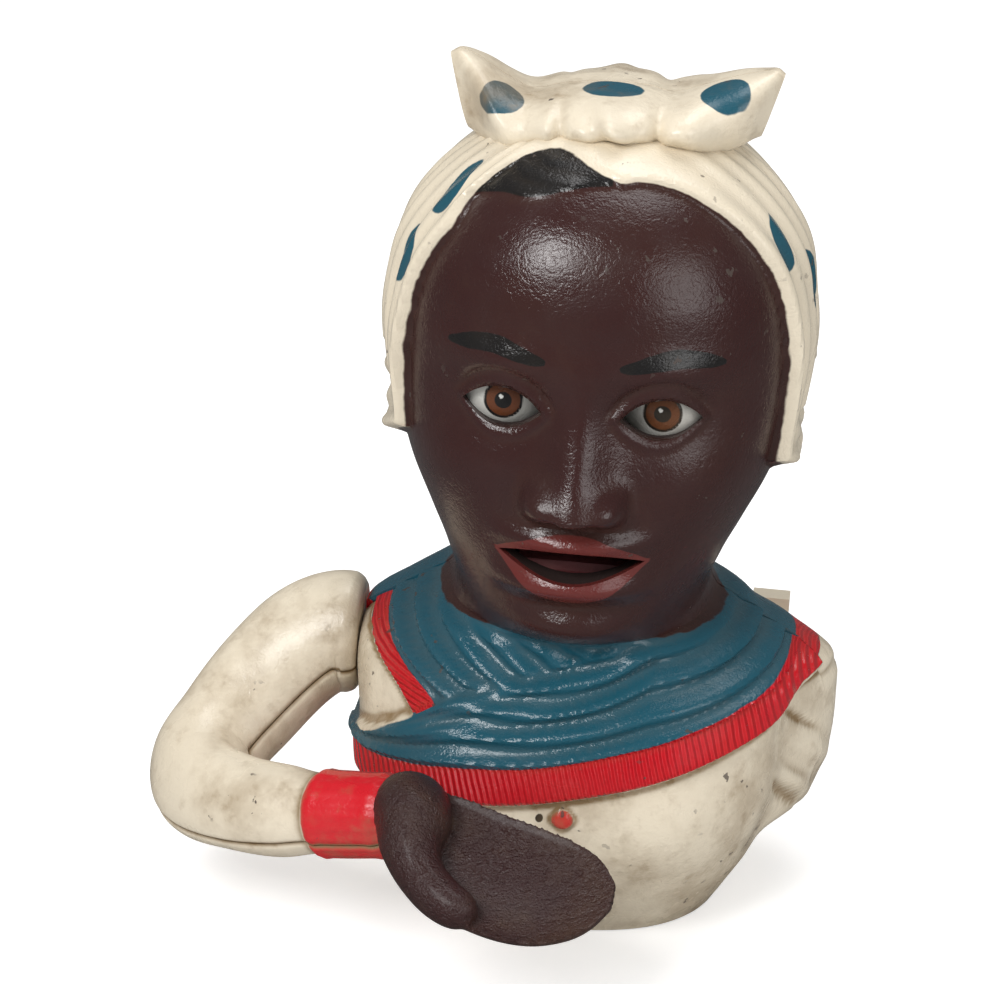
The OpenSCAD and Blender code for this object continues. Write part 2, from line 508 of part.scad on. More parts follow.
module hand() {
    color(skin) union() {
        loft([for (t = [0, 0.04, 0.1, 0.16, 0.23, 0.3, 0.38, 0.46, 0.54, 0.62, 0.7, 0.78, 0.84, 0.89, 0.93, 0.97, 1]) palm_ring(t)]);
        loft([for (t = [0, 0.06, 0.12, 0.18, 0.24, 0.3, 0.36, 0.42, 0.48, 0.54, 0.6, 0.68, 0.76, 0.84, 0.9, 0.94, 0.97, 0.99, 1]) thumb_ring(t)]);
        on_arm(10) translate([0, 0, -10]) cylinder(h = 12, d = 6);
    }
}

// ---- mechanism -----------------------------------------------------------------------------
// Shoulder shaft: a square end in the arm, a crank for the drive rod and a crank for the lever
module arm_shaft() {
    web = 2.4;
    x0 = drive_x - 0.6;
    x1 = drive_x + link_t + 0.6;
    color(iron) {
        bar_x(-arm_face + 0.05, x0, shaft_d, shaft_at);
        block([-arm_face - arm_socket, -2.2, shaft_z - 2.2], [-arm_face + 0.2, 2.2, shaft_z + 2.2]);
        bar_x(x1, lever_x - 1.2, shaft_d, shaft_at);
        for (x = [x0 - web, x1]) plate(x, web) strap(shaft_at, crank_at, 6.4);
        bar_x(x0 - 1, x1 + 1, pin_d, crank_at);
        plate(lever_x - 4.2, 3) strap(shaft_at, lift_at, 6.4);
        bar_x(lever_x - 2, lever_x + lever_t, 3, lift_at);
    }
}
module thumb_lever() {
    fork = norm(lift_at - lever_at);
    lie = 180 + atan2(lift_at[1] - lever_at[1], lift_at[0] - lever_at[0]);
    color(cream) {
        plate(lever_x, lever_t) translate(lever_at) difference() {
            union() {
                circle(d = 9);
                rotate(lie) translate([-fork - 3.6, -3.3]) square([fork + 3.6, 6.6]);
                rotate(lever_rise) translate([0, -2.2]) square([24, 4.4]);
            }
            circle(d = screw_d + 2 * run);
            rotate(lie) translate([-fork - 4.6, -1.5 - run]) square([7, 3 + 2 * run]);
        }
        translate([lever_x, lever_at[0], lever_at[1]]) rotate([lever_rise, 0, 0])
            translate([0.6, 21.4, -3]) cube([lever_t + 4.4, 5.6, 6]);
    }
}
module lever_pin() {
    color(iron) {
        bar_x(lever_x - 0.5, lever_x + lever_t + 4.6, screw_d, lever_at);
        bar_x(lever_x - 1.6, lever_x - 0.2, 5, lever_at);
    }
}
module drive_rod() {
    color(iron) plate(drive_x, link_t) difference() {
        strap(drive_at, crank_at, 5.4);
        hole(drive_at, pin_d + 2 * run);
        hole(crank_at, pin_d + 2 * slack);
    }
}
module tongue() {
    inner = tongue_w / 2 - 2.3;
    color("#8d4a4c") difference() {
        union() {
            bar_x(-inner, inner, 7, tongue_at);
            translate([-tongue_w / 2, 0, 0]) rotate([90, 0, 90]) linear_extrude(tongue_w)
                polygon([[tongue_at[0] - 4.2, tongue_top - 1.6], [tongue_at[0] - 3.6, tongue_top], [-20, tongue_top],
                    [-7, tongue_top - 2.4], [-7, tongue_top - 4.4], [-20, tongue_top - 3], [tongue_at[0] - 4, tongue_top - 3.2]]);
            translate([-4, 0, 0]) rotate([90, 0, 90]) linear_extrude(8)
                polygon([[tongue_at[0] - 3.4, tongue_at[1]], [tongue_at[0] + 3.4, tongue_at[1]],
                    [tongue_at[0] + 6, tongue_top - 1.5], [tongue_at[0] - 3, tongue_top - 1.5]]);
            plate(drive_x - 3, 2.4) strap(tongue_at, drive_at, 5.4);
            bar_x(drive_x - 1, drive_x + link_t + 0.8, pin_d, drive_at);
            plate(-inner, 2.2) strap(tongue_at, tongue_link_at, 5);
            bar_x(-eye_rod_x - link_t - 0.6, -inner + 1, pin_d, tongue_link_at);
        }
        bar_x(-tongue_w, tongue_w, pin_d + 2 * run, tongue_at);
    }
}
module tongue_pin() { color(iron) bar_x(-tongue_w / 2 - 2.2, tongue_w / 2 + 2.2, pin_d, tongue_at); }
module eye_rod() {
    color(iron) plate(-eye_rod_x - link_t, link_t) difference() {
        strap(tongue_link_at, eye_tail_at, 4.4);
        hole(tongue_link_at, pin_d + 2 * run);
        hole(eye_tail_at, pin_d - 0.6 + 2 * slack);
    }
}
module eye(side) {
    color("#d9d6cc") difference() {
        translate([side * eye_x, eye_at[0], eye_at[1]]) sphere(r = eye_r);
        block([-eye_gap, -60, 80], [eye_gap, 0, 140]);
        bar_x(-lug_x, lug_x, pin_d + 2 * snug, eye_at);
    }
}
module eye_crank() {
    color(iron) difference() {
        union() {
            bar_x(-eye_gap + 0.1, eye_gap - 0.1, 6.4, eye_at);
            plate(-eye_gap + 0.1, 2.2) strap(eye_at, eye_tail_at, 4.4);
            bar_x(-eye_rod_x - link_t - 0.6, -eye_gap + 1, pin_d - 0.6, eye_tail_at);
        }
        bar_x(-lug_x, lug_x, pin_d + 2 * snug, eye_at);
    }
}
module eye_axle() { color(iron) bar_x(-lug_x - 3, lug_x + 3, pin_d, eye_at); }

front_casting();
back_casting();
base_plate();
base_screw(-1);  // base_screw_left
base_screw(1);  // base_screw_right
trap_cover();
trap_rivet();
long_screw(0, head_screw_z, 4 - bore, head_seat);  // head_screw
long_screw(body_screw[0], body_screw[1], 4 - bore, body_seat);
arm_upper_half();
arm_lower_half();
arm_rivets();
hand();
arm_shaft();
thumb_lever();
lever_pin();
drive_rod();
tongue();
tongue_pin();
eye_rod();
eye(1);  // eye_left
eye(-1);  // eye_right
eye_crank();
eye_axle();
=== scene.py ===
"""A painted cast-iron mechanical coin bank: a bust in a head wrap and a crossed shawl."""
import math

import bpy
import numpy as np
from mathutils import Matrix, Vector


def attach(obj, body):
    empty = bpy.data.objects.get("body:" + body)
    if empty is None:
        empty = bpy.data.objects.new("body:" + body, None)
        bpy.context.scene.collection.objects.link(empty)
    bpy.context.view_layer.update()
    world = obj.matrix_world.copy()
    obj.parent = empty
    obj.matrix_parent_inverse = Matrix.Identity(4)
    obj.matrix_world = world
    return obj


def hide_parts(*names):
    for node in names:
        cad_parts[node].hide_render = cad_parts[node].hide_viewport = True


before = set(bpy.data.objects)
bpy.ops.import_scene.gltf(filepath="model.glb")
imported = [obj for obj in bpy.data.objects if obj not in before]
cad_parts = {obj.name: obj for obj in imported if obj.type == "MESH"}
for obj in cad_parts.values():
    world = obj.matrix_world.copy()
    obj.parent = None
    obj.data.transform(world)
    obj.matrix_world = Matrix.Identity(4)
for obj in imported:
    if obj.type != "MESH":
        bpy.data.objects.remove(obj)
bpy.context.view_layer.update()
MM = 0.001

# Sizes of the castings, in millimetres
HEAD_TOP, CHIN, HEAD_W, TORSO_W = 155.0, 61.5, 38.5, 43.0
FOOT_W, FOOT_FRONT, FOOT_BACK = 31.0, 31.0, 30.0
WALL, SEAM = 3.2, 0.3
EYE_W, EYE_H, EYE_X, EYE_Y, EYE_R = 15.0, 8.0, 14.6, -25.4, 9.6
MOUTH_W, MOUTH_H = 27.0, 6.6
WRAP_T, SHAWL_T, FRINGE_W = 1.8, 1.6, 7.4
KNOT_W, KNOT_TOP = 31.0, 164.0
SHAFT_Z, ARM_R, CUFF_R, PALM_W, HAND_L = 44.0, 11.5, 7.8, 27.0, 47.0
SKULL = HEAD_TOP - CHIN
SHOULDER = SHAFT_Z + 4
BUTTON_X, BUTTON_Z, BUTTON_R = 1.7, 28.8, 2.1


def level(share):
    """Height of a share of the head above the chin."""
    return CHIN + share * SKULL


EYE_Z, BROW_Z, HAIR_Z, NOSE_Z, MOUTH_Z = (level(v) for v in (0.5, 0.585, 0.94, 0.305, 0.2))
WRAP_LOW, CROWN_Z, HEAD_SCREW_Z = (level(v) for v in (0.3, 0.9, 0.77))
HAIR_LOW = 144.2
BODY_SCREW_X, BODY_SCREW_Z = -30, 19


# ---- curves ----------------------------------------------
def clamp(v):
    return np.clip(v, 0.0, 1.0)


def ease(v):
    v = clamp(v)
    return v * v * (3 - 2 * v)


def bell(distance, width):
    return np.exp(-((distance / width) ** 2))


def mix(a, b, share):
    return a + (b - a) * share


def sind(v):
    return np.sin(np.radians(v))


def cosd(v):
    return np.cos(np.radians(v))


def curve(t, table):
    """A smooth curve through rows of (position, value), where a value may be a point."""
    pos = np.array([row[0] for row in table], float)
    val = np.array([row[1] for row in table], float)
    t = np.asarray(t, float)
    i = np.clip(np.searchsorted(pos, t, side="right") - 1, 0, len(pos) - 2)
    lo = np.maximum(np.arange(len(pos)) - 1, 0)
    hi = np.minimum(np.arange(len(pos)) + 1, len(pos) - 1)
    run = pos[hi] - pos[lo]
    slope = (val[hi] - val[lo]) / (run if val.ndim == 1 else run[:, None])
    h = pos[i + 1] - pos[i]
    u = clamp((t - pos[i]) / h)
    if val.ndim > 1:
        h, u = h[..., None], u[..., None]
    return (val[i] * (1 + 2 * u) * (1 - u) ** 2 + slope[i] * h * u * (1 - u) ** 2
            + val[i + 1] * u * u * (3 - 2 * u) + slope[i + 1] * h * u * u * (u - 1))


def wobble(x, y, z, size, seed=0.0):
    """A smooth uneven value near -1 to 1, for hand-worked surfaces."""
    a = (np.sin(x / size * 1.7 + y / size * 1.1 + seed)
         + np.sin(z / size * 1.9 - x / size * 0.7 + 2.1 * seed + 1.3))
    b = (np.sin(y / size * 2.3 + z / size * 1.3 - seed * 1.7)
         + np.sin((x + y - z) / size * 0.9 + seed * 3.1))
    return (a + b) / 4


# ---- the bust's surface, in millimetres ------------------
HALF_WIDTHS = [(0, FOOT_W), (4, FOOT_W + 2.4), (12, FOOT_W + 6.8), (26, TORSO_W - 0.6),
               (SHAFT_Z - 4, TORSO_W), (SHOULDER, TORSO_W - 0.6), (SHOULDER + 3, TORSO_W - 2.6),
               (SHOULDER + 6.5, TORSO_W - 8),
               (CHIN - 1, HEAD_W - 11.5), (CHIN + 3, HEAD_W - 14), (level(0.12), HEAD_W - 11.5),
               (level(0.2), HEAD_W - 8), (level(0.29), HEAD_W - 4.2), (level(0.38), HEAD_W - 1.8),
               (level(0.5), HEAD_W), (level(0.62), HEAD_W), (level(0.74), HEAD_W - 2.2),
               (level(0.85), HEAD_W - 8), (level(0.93), HEAD_W - 16), (level(0.975), HEAD_W - 25),
               (HEAD_TOP, 4)]
FRONT_DEPTHS = [(0, FOOT_FRONT), (4, FOOT_FRONT + 2.4), (12, FOOT_FRONT + 6), (26, FOOT_FRONT + 10.5),
                (38, FOOT_FRONT + 10.5), (SHOULDER, FOOT_FRONT + 6.5), (CHIN - 4.5, 32.5),
                (CHIN - 1, 33.5), (CHIN + 1.5, 37), (CHIN + 5, 39.4), (level(0.12), 40.5),
                (level(0.25), 41.2), (level(0.5), 41), (level(0.62), 41.6), (level(0.74), 40.5),
                (level(0.85), 35.5), (level(0.93), 26.5), (level(0.975), 17), (HEAD_TOP, 4)]
BACK_DEPTHS = [(0, FOOT_BACK), (4, FOOT_BACK + 2), (14, FOOT_BACK + 4.5), (28, FOOT_BACK + 4.5),
               (SHAFT_Z, FOOT_BACK + 2), (SHOULDER + 4, FOOT_BACK - 3.5), (CHIN + 1, 23),
               (level(0.1), 24.5), (level(0.22), 31), (level(0.35), 36), (level(0.5), 38.5),
               (level(0.62), 38.2), (level(0.74), 35.8), (level(0.85), 30), (level(0.93), 22.5),
               (level(0.975), 14), (HEAD_TOP, 4)]
# The shawl's edges: heights across the chest, and the under band's edge across for heights
HEM = [(-44, 24), (-39, 25), (-30, 27.4), (-18, 29.8), (-5, 31.7), (7.5, 34.5), (20, 37.7), (32, 41.4),
       (39.6, 44), (44, 47)]
OVER_EDGE = [(-44, 31.5), (-37, 37.2), (-26.7, 44.4), (-18.3, 49.9), (-9, 53), (0, 56.5), (10, 62),
             (44, 90)]
UNDER_EDGE = [(20, 0), (40, -24.5), (44.2, -28.5), (48, -32.6), (51, -38), (54, -44), (60, -52)]


def plain_radius(a, z):
    """Radius of the plain bust at an angle from the front and a height."""
    width = curve(z, HALF_WIDTHS)
    depth = np.where(cosd(a) >= 0, curve(z, FRONT_DEPTHS), curve(z, BACK_DEPTHS))
    n = np.where(z > CHIN, 2.15, 2.35)
    return (np.abs(sind(a) / width) ** n + np.abs(cosd(a) / depth) ** n) ** (-1 / n)


def nose_relief(x, z):
    down = clamp((BROW_Z - z) / (BROW_Z - NOSE_Z))
    ridge = (mix(1.2, 9.2, down ** 1.25) * bell(x, mix(4.2, 6.2, down))
             * ease((BROW_Z + 5 - z) / 8) * ease((z - NOSE_Z + 3.2) / 4.4))
    wings = 3.6 * bell(x - 6.6, 3.0) * bell(z - NOSE_Z - 2.4, 3.4)
    nostrils = -1.6 * bell(x - 3.6, 1.5) * bell(z - NOSE_Z + 0.8, 1.2)
    crease = -0.5 * bell(x - 10.4, 1.5) * bell(z - NOSE_Z - 2.6, 3.2)
    return ridge + wings + nostrils + crease


def lips_relief(x, z):
    """Lips round the opening, the groove above them and the chin's crease."""
    reach = clamp(1 - (x / (MOUTH_W / 2 + 3.2)) ** 2) ** 1.3
    lift = MOUTH_H / 2
    lips = 2.6 * bell(z - MOUTH_Z - lift - 1.2, 2.2) + 3.0 * bell(z - MOUTH_Z + lift + 1.6, 2.7)
    philtrum = -0.55 * bell(x, 1.5) * bell(z - MOUTH_Z - lift - 5.4, 2.6)
    return (lips * reach + philtrum + 1.8 * bell(x, 15) * bell(z - MOUTH_Z, 9)
            - 1.3 * bell(x, 9) * bell(z - level(0.105), 2.6))


def lens_edge(x, z, width, height):
    """Distance outside a lens outline, in millimetres; negative inside."""
    half = height / 2 * np.maximum(1 - (2 * x / width) ** 2, -0.6)
    return (np.abs(z) - half) * 0.92


def lids_relief(x, z):
    """Soft lids round the eye's opening and a fold above the upper lid."""
    edge = lens_edge(x - EYE_X, z - EYE_Z, EYE_W, EYE_H)
    inside_span = ease((EYE_W / 2 + 3.4 - np.abs(x - EYE_X)) / 4)
    upper = z > EYE_Z
    rim = np.where(upper, 1.0, 0.65) * bell(edge - 0.9, 1.0) * inside_span
    fold = -0.6 * bell(edge - 3.4, 0.8) * inside_span * upper
    return rim + fold


def face_relief(x, z):
    """Nose, lips, lids, brows, sockets, cheeks and chin."""
    return (nose_relief(x, z) + lips_relief(x, z) + lids_relief(x, z)
            + 1.7 * bell(x - 15, 9) * bell(z - BROW_Z - 1, 4)
            - 2.2 * bell(x - EYE_X, 9.5) * bell(z - EYE_Z, 6.5)
            + 1.5 * bell(x - 22, 9) * bell(z - level(0.36), 8)
            + 2.6 * bell(x, 9) * bell(z - level(0.05), 4.5))


# How far the wrap is pushed up off the hair, by the angle round the head
TUFT = [(-60, 0), (-52, 0), (-46, 2.6), (-41, 4.0), (-35, 3.9), (-28, 3.2), (-20, 2.5), (-12, 1.7),
        (-4, 0.9), (3, 0.2), (8, -0.3), (16, 0), (60, 0)]


def wrap_edge(a, z):
    """Distance inside the head wrap's cloth, in millimetres."""
    up = np.maximum(z - WRAP_LOW, 0) / (HAIR_Z - WRAP_LOW)
    oval = (np.abs(a / np.where(a < 0, 57, 64)) ** 3.2 + up ** 3.2) ** (1 / 3.2)
    tuft = curve(np.clip(a, -60, 60), TUFT) * ease((z - HAIR_Z + 12) / 6)
    end = z - level(0.295) - 0.3 * np.maximum(82 - np.abs(a), 0)
    return np.minimum((oval - 1.0) * 46 - tuft, end)


def hair_edge(a, z):
    """Distance inside the patch of hair that shows under the wrap."""
    return np.minimum(z - HAIR_LOW - 0.1 * (a + 39.6) + 0.3 * sind(a * 12), (5 - a) * 0.4)


def wrap_relief(a, z):
    """The wrap's cloth with its pleats, sweeping folds, lower roll and lip."""
    edge = wrap_edge(a, z)
    inside = ease((edge + 0.9) / 1.8)
    side = ease((np.abs(a) - 48) / 16) * ease((118 - np.abs(a)) / 24) * ease((edge - 1) / 5)
    pleats = 0.45 * sind(np.abs(a) * 21 + z * 2.2) * side * bell(z - level(0.55), 22)
    sweep = (0.5 * sind(edge * 58 + 30) * ease((40 - edge) / 12) * ease((np.abs(a) + 6) / 30)
             * ease((112 - np.abs(a)) / 20))
    roll = 1.4 * bell(z - level(0.33), 4) * ease((np.abs(a) - 50) / 12)
    soft = 0.4 * wobble(a * 0.7, z, a * 0.2, 7.0, 1.0)
    lip = 1.2 * bell(edge - 2.2, 2.0)
    return inside * (WRAP_T + pleats + sweep + roll + soft + lip)


def over_band(x, z):
    """Distance below the upper edge of the band that lies on top."""
    return curve(x, OVER_EDGE) - z


def above_back_hem(x, z):
    return z - 30 - 15 * (x / TORSO_W) ** 2


def shawl_edge(x, z, back):
    """Distance inside the shawl, in millimetres."""
    front = np.minimum(z - curve(x, HEM), np.maximum(over_band(x, z), x - curve(z, UNDER_EDGE)))
    return np.where(back, above_back_hem(x, z), front)


def fringe_edge(x, z, back):
    """Distance inside the red fringe, in millimetres."""
    below = np.where(back, above_back_hem(x, z), z - curve(x, HEM))
    side = (x - curve(z, UNDER_EDGE)) * 0.8
    side = np.where(back | (over_band(x, z) > -0.3) | (z < 40), 99.0, side)
    low = np.minimum(below, FRINGE_W - below)
    flank = np.minimum(side, 0.75 * FRINGE_W - side)
    return np.where(shawl_edge(x, z, back) > -0.4, np.maximum(low, flank), -1.0)


def fringe_run(x, z, back):
    """How far along the fringe a point lies, for its ribs."""
    return np.where(back | (over_band(x, z) > 0), x * 1.03 + 0.3 * z, 1.25 * z + 0.25 * x)


def shawl_folds(x, z):
    """Long soft folds that spread from each band's narrow end."""
    hem, edge = curve(x, HEM) + FRINGE_W, curve(x, OVER_EDGE)
    across = (z - hem) / np.maximum(np.minimum(edge, 66.0) - hem, 5.0)
    drift = 0.05 * wobble(x * 0.6, 0, z * 0.3, 12.0)
    wide = ease((x + 40) / 50)
    over = mix(0.35, 1.0, wide) * np.sin(2 * math.pi * (mix(1.6, 4.2, wide) * (across + drift)) + 0.6)
    over = over + 0.14 * np.sin(2 * math.pi * (6.1 * across + 1.3 * drift) + x * 0.05)
    reach = (x - curve(z, UNDER_EDGE) - 4) / 22
    under = 0.8 * np.sin(2 * math.pi * (2.6 * reach + drift + 0.012 * (z - 50)) + 1.2)
    blend = ease((over_band(x, z) + 1.2) / 2.4)
    return mix(under, over * ease((across + 0.05) / 0.15), blend)


def shawl_relief(x, z, back):
    inside = ease((shawl_edge(x, z, back) + 1) / 2)
    over = ease((over_band(x, z) + 0.3) / 2.2) * ease((x + 46) / 10)
    fringe = ease((fringe_edge(x, z, back) + 0.4) / 0.8)
    folds = np.where(back, 0.3 * sind((z - 0.3 * x) * 46), shawl_folds(x, z))
    return inside * (SHAWL_T + np.where(back, 0.0, 0.9 * over) + mix(folds, -0.35, fringe))


def sleeve_relief(a, z):
    """The figure's left upper arm at its side; the other flank is drawn in for the moving arm."""
    flank = -2.4 * bell(np.where(a > 180, a - 274, a + 86), 22) * bell(z - 28, 11)
    a = np.where(a < -90, a + 360, a)
    stub = ((8.4 * bell(a - 104, 20) - 1.8 * bell(a - 74, 9)) * ease((z - 10) / 6)
            * ease((SHOULDER + 5 - z) / 12))
    lean = (a - 76) * 0.55 + (z - 30)
    creases = (1.5 * bell(lean + 3, 1.8) * bell(a - 84, 11) * bell(z - 26, 8)
               - 1.3 * bell(lean + 6, 1.6) * bell(a - 82, 11) * bell(z - 24, 9)
               + 0.8 * bell(lean - 6, 2.4) * bell(a - 90, 12) * bell(z - 28, 9)
               - 1.1 * bell(lean - 10.5, 1.3) * bell(a - 80, 8) * bell(z - 36, 5))
    return stub + flank + creases * ease((z - 10) / 5)


def dress_relief(a, x, z):
    chest = 2.4 * (bell(x - 19, 13) + bell(x + 19, 13)) * bell(z - 24, 11)
    button = 1.2 * ease((BUTTON_R + 0.1 - np.hypot(x - BUTTON_X, z - BUTTON_Z)) / 0.9)
    return chest + button + 0.25 * wobble(x, a * 0.3, z, 8.0, 2.0)


def relief(a, z):
    """Height of everything modelled on the plain bust."""
    x = plain_radius(a, z) * sind(a)
    back = cosd(a) < 0
    turn = np.where(a > 180, a - 360, a)
    wrapped = ease((wrap_edge(turn, z) + 0.9) / 1.8)
    on_face = (z > CHIN - 1) & ~back
    face = face_relief(np.hypot(x, 1.8), z) * (1 - wrapped) * ease((z - CHIN + 1) / 2) * on_face
    combed = 0.8 + 0.2 * sind(z * 150 + turn * 9 + 60 * sind(turn * 9))
    face = face + combed * ease((hair_edge(turn, z) + 0.5) / 1.2) * (1 - wrapped) * ~back
    wrap = wrap_relief(turn, z) * (z > level(0.25))
    dress = np.where(back, 0.0, dress_relief(a, x, z))
    torso = (shawl_relief(x, z, back) + dress) * ease((CHIN - z) / 3)
    return face + wrap + torso * (z < CHIN) + sleeve_relief(a, z) * (z < CHIN)


def bust_points(a, z):
    r = plain_radius(a, z) + relief(a, z)
    return np.stack([r * sind(a), -r * cosd(a), z + 0 * a], -1)


def inner_points(a, z):
    """Points of the hollow inside, one wall below the plain bust."""
    r = plain_radius(a, z) + np.minimum(relief(a, z) * 0.5, 0) - WALL
    return np.stack([r * sind(a), -r * cosd(a), z + 0 * a], -1)


# ---- mesh tools ------------------------------------------
def deselect():
    if bpy.context.object and bpy.context.object.mode != "OBJECT":
        bpy.ops.object.mode_set(mode="OBJECT")
    bpy.ops.object.select_all(action="DESELECT")


def coords(obj):
    co = np.empty(len(obj.data.vertices) * 3)
    obj.data.vertices.foreach_get("co", co)
    return co.reshape(-1, 3)


def set_coords(obj, points):
    obj.data.vertices.foreach_set("co", np.ascontiguousarray(points, float).ravel())
    obj.data.update()


def pick_only(obj):
    deselect()
    obj.select_set(True)
    bpy.context.view_layer.objects.active = obj


def apply_modifier(obj, kind, **settings):
    pick_only(obj)
    mod = obj.modifiers.new(kind.title(), kind)
    for key, value in settings.items():
        setattr(mod, key, value)
    bpy.ops.object.modifier_apply(modifier=mod.name)


def tidy_mesh(obj, smooth=35):
    """Merges seams, turns the faces outwards and smooths all but sharp edges."""
    pick_only(obj)
    bpy.ops.object.mode_set(mode="EDIT")
    bpy.ops.mesh.select_all(action="SELECT")
    bpy.ops.mesh.remove_doubles(threshold=0.00001)
    bpy.ops.mesh.normals_make_consistent(inside=False)
    bpy.ops.object.mode_set(mode="OBJECT")
    bpy.ops.object.shade_smooth_by_angle(angle=math.radians(smooth))


def wrapped_grid(name, cols, rows, shape):
    """A grid rolled into a closed tube by shape(u, v) in millimetres, with both ends filled."""
    deselect()
    bpy.ops.mesh.primitive_grid_add(x_subdivisions=cols, y_subdivisions=rows, size=2)
    obj = bpy.context.object
    obj.name = obj.data.name = name
    flat = coords(obj)
    set_coords(obj, shape((flat[:, 0] + 1) / 2, (flat[:, 1] + 1) / 2) * MM)
    bpy.ops.object.mode_set(mode="EDIT")
    bpy.ops.mesh.select_all(action="SELECT")
    bpy.ops.mesh.remove_doubles(threshold=0.000004)
    bpy.ops.mesh.select_all(action="DESELECT")
    bpy.ops.mesh.select_non_manifold()
    bpy.ops.mesh.fill_holes(sides=0)
    bpy.ops.object.mode_set(mode="OBJECT")
    tidy_mesh(obj)
    return obj


def cutter(name, outline, x, z, near, far):
    """An outline in X and Z, drawn out along Y to cut an opening."""
    deselect()
    bpy.ops.mesh.primitive_circle_add(vertices=len(outline), radius=1, fill_type="NGON")
    obj = bpy.context.object
    obj.name = name
    set_coords(obj, np.array([(x + p[0], near, z + p[1]) for p in outline]) * MM)
    bpy.ops.object.mode_set(mode="EDIT")
    bpy.ops.mesh.select_all(action="SELECT")
    bpy.ops.mesh.extrude_region_move(TRANSFORM_OT_translate={"value": (0, (far - near) * MM, 0)})
    bpy.ops.mesh.select_all(action="SELECT")
    bpy.ops.mesh.normals_make_consistent(inside=False)
    bpy.ops.object.mode_set(mode="OBJECT")
    return obj


def ball(name, centre, radius, sides=64):
    deselect()
    bpy.ops.mesh.primitive_uv_sphere_add(segments=sides, ring_count=sides // 2, radius=radius * MM,
                                         location=[c * MM for c in centre])
    obj = bpy.context.object
    obj.name = name
    bpy.ops.object.transform_apply(location=True)
    return obj


def rod(name, start, end, radius, sides=48):
    """A plain round bar between two points."""
    a, b = Vector(start) * MM, Vector(end) * MM
    deselect()
    bpy.ops.mesh.primitive_cylinder_add(vertices=sides, radius=radius * MM, depth=(b - a).length)
    obj = bpy.context.object
    obj.name = name
    turn = (b - a).to_track_quat("Z", "Y").to_matrix().to_4x4()
    obj.matrix_world = Matrix.Translation((a + b) / 2) @ turn
    bpy.ops.object.transform_apply(location=True, rotation=True)
    return obj


def box(name, low, high):
    deselect()
    bpy.ops.mesh.primitive_cube_add(size=1)
    obj = bpy.context.object
    obj.name = name
    set_coords(obj, (coords(obj) + 0.5) * (np.array(high) - low) * MM + np.array(low) * MM)
    return obj


def carve(obj, cutters):
    """Cuts each tool piece's shape away and then removes the tool."""
    for tool in cutters:
        apply_modifier(obj, "BOOLEAN", object=tool, operation="DIFFERENCE", solver="EXACT")
        bpy.data.objects.remove(tool, do_unlink=True)


def lens(width, height, lift=0.0):
    """The outline of an eye or mouth opening, whose corners may be lifted."""
    steps = 14
    t = np.linspace(-1, 1, 2 * steps + 1)
    top = [(s * width / 2, height / 2 * (1 - s * s) + lift * s * s) for s in t]
    low = [(s * width / 2, -height / 2 * (1 - s * s) + lift * s * s) for s in t[::-1][1:-1]]
    return top + low


def note_field(obj, name, values):
    """Keeps a distance, in millimetres, on every point, for the paint's edges."""
    layer = obj.data.attributes.get(name) or obj.data.attributes.new(name, "FLOAT", "POINT")
    layer.data.foreach_set("value", np.ascontiguousarray(values, np.float32))


# ---- material tools --------------------------------------
class Graph:
    """Adds and links nodes in a material's or a group's tree."""

    def __init__(self, tree):
        self.tree = tree

    def node(self, kind, **given):
        made = self.tree.nodes.new(kind)
        for key, value in given.items():
            if hasattr(made, key):
                setattr(made, key, value)
            else:
                self.feed(made.inputs[key.replace("_", " ")], value)
        return made

    def feed(self, socket, value):
        if isinstance(value, bpy.types.NodeSocket):
            self.tree.links.new(value, socket)
        else:
            socket.default_value = value

    def math(self, operation, a, b=0.0, clamped=False):
        made = self.node("ShaderNodeMath", operation=operation, use_clamp=clamped)
        self.feed(made.inputs[0], a)
        self.feed(made.inputs[1], b)
        return made.outputs[0]

    def ramp(self, value, low, high, to_low=0.0, to_high=1.0, smooth=True):
        made = self.node("ShaderNodeMapRange", interpolation_type="SMOOTHSTEP" if smooth else "LINEAR")
        limits = {"From Min": low, "From Max": high, "To Min": to_low, "To Max": to_high}
        self.feed(made.inputs["Value"], value)
        for key, item in limits.items():
            self.feed(made.inputs[key], item)
        return made.outputs["Result"]

    def blend(self, share, a, b):
        made = self.node("ShaderNodeMix", data_type="RGBA", blend_type="MIX")
        for socket, value in ((made.inputs["Factor"], share), (made.inputs[6], a), (made.inputs[7], b)):
            self.feed(socket, value)
        return made.outputs[2]

    def noise(self, scale, detail=4.0, roughness=0.55):
        made = self.node("ShaderNodeTexNoise")
        self.feed(made.inputs["Vector"], self.node("ShaderNodeTexCoord").outputs["Object"])
        for key, value in (("Scale", scale), ("Detail", detail), ("Roughness", roughness)):
            self.feed(made.inputs[key], value)
        return made.outputs["Fac"]

    def field(self, name):
        return self.node("ShaderNodeAttribute", attribute_name=name).outputs["Fac"]

    def use(self, group, **values):
        made = self.node("ShaderNodeGroup")
        made.node_tree = group
        for key, value in values.items():
            self.feed(made.inputs[key.replace("_", " ")], value)
        return made


def rgb(r, g, b):
    return (r, g, b, 1.0)


def new_group(name, inputs, outputs):
    group = bpy.data.node_groups.new(name, "ShaderNodeTree")
    for label, kind, value in inputs:
        socket = group.interface.new_socket(label, in_out="INPUT", socket_type=kind)
        socket.default_value = value
    for label, kind in outputs:
        group.interface.new_socket(label, in_out="OUTPUT", socket_type=kind)
    g = Graph(group)
    return group, g, g.node("NodeGroupInput"), g.node("NodeGroupOutput")


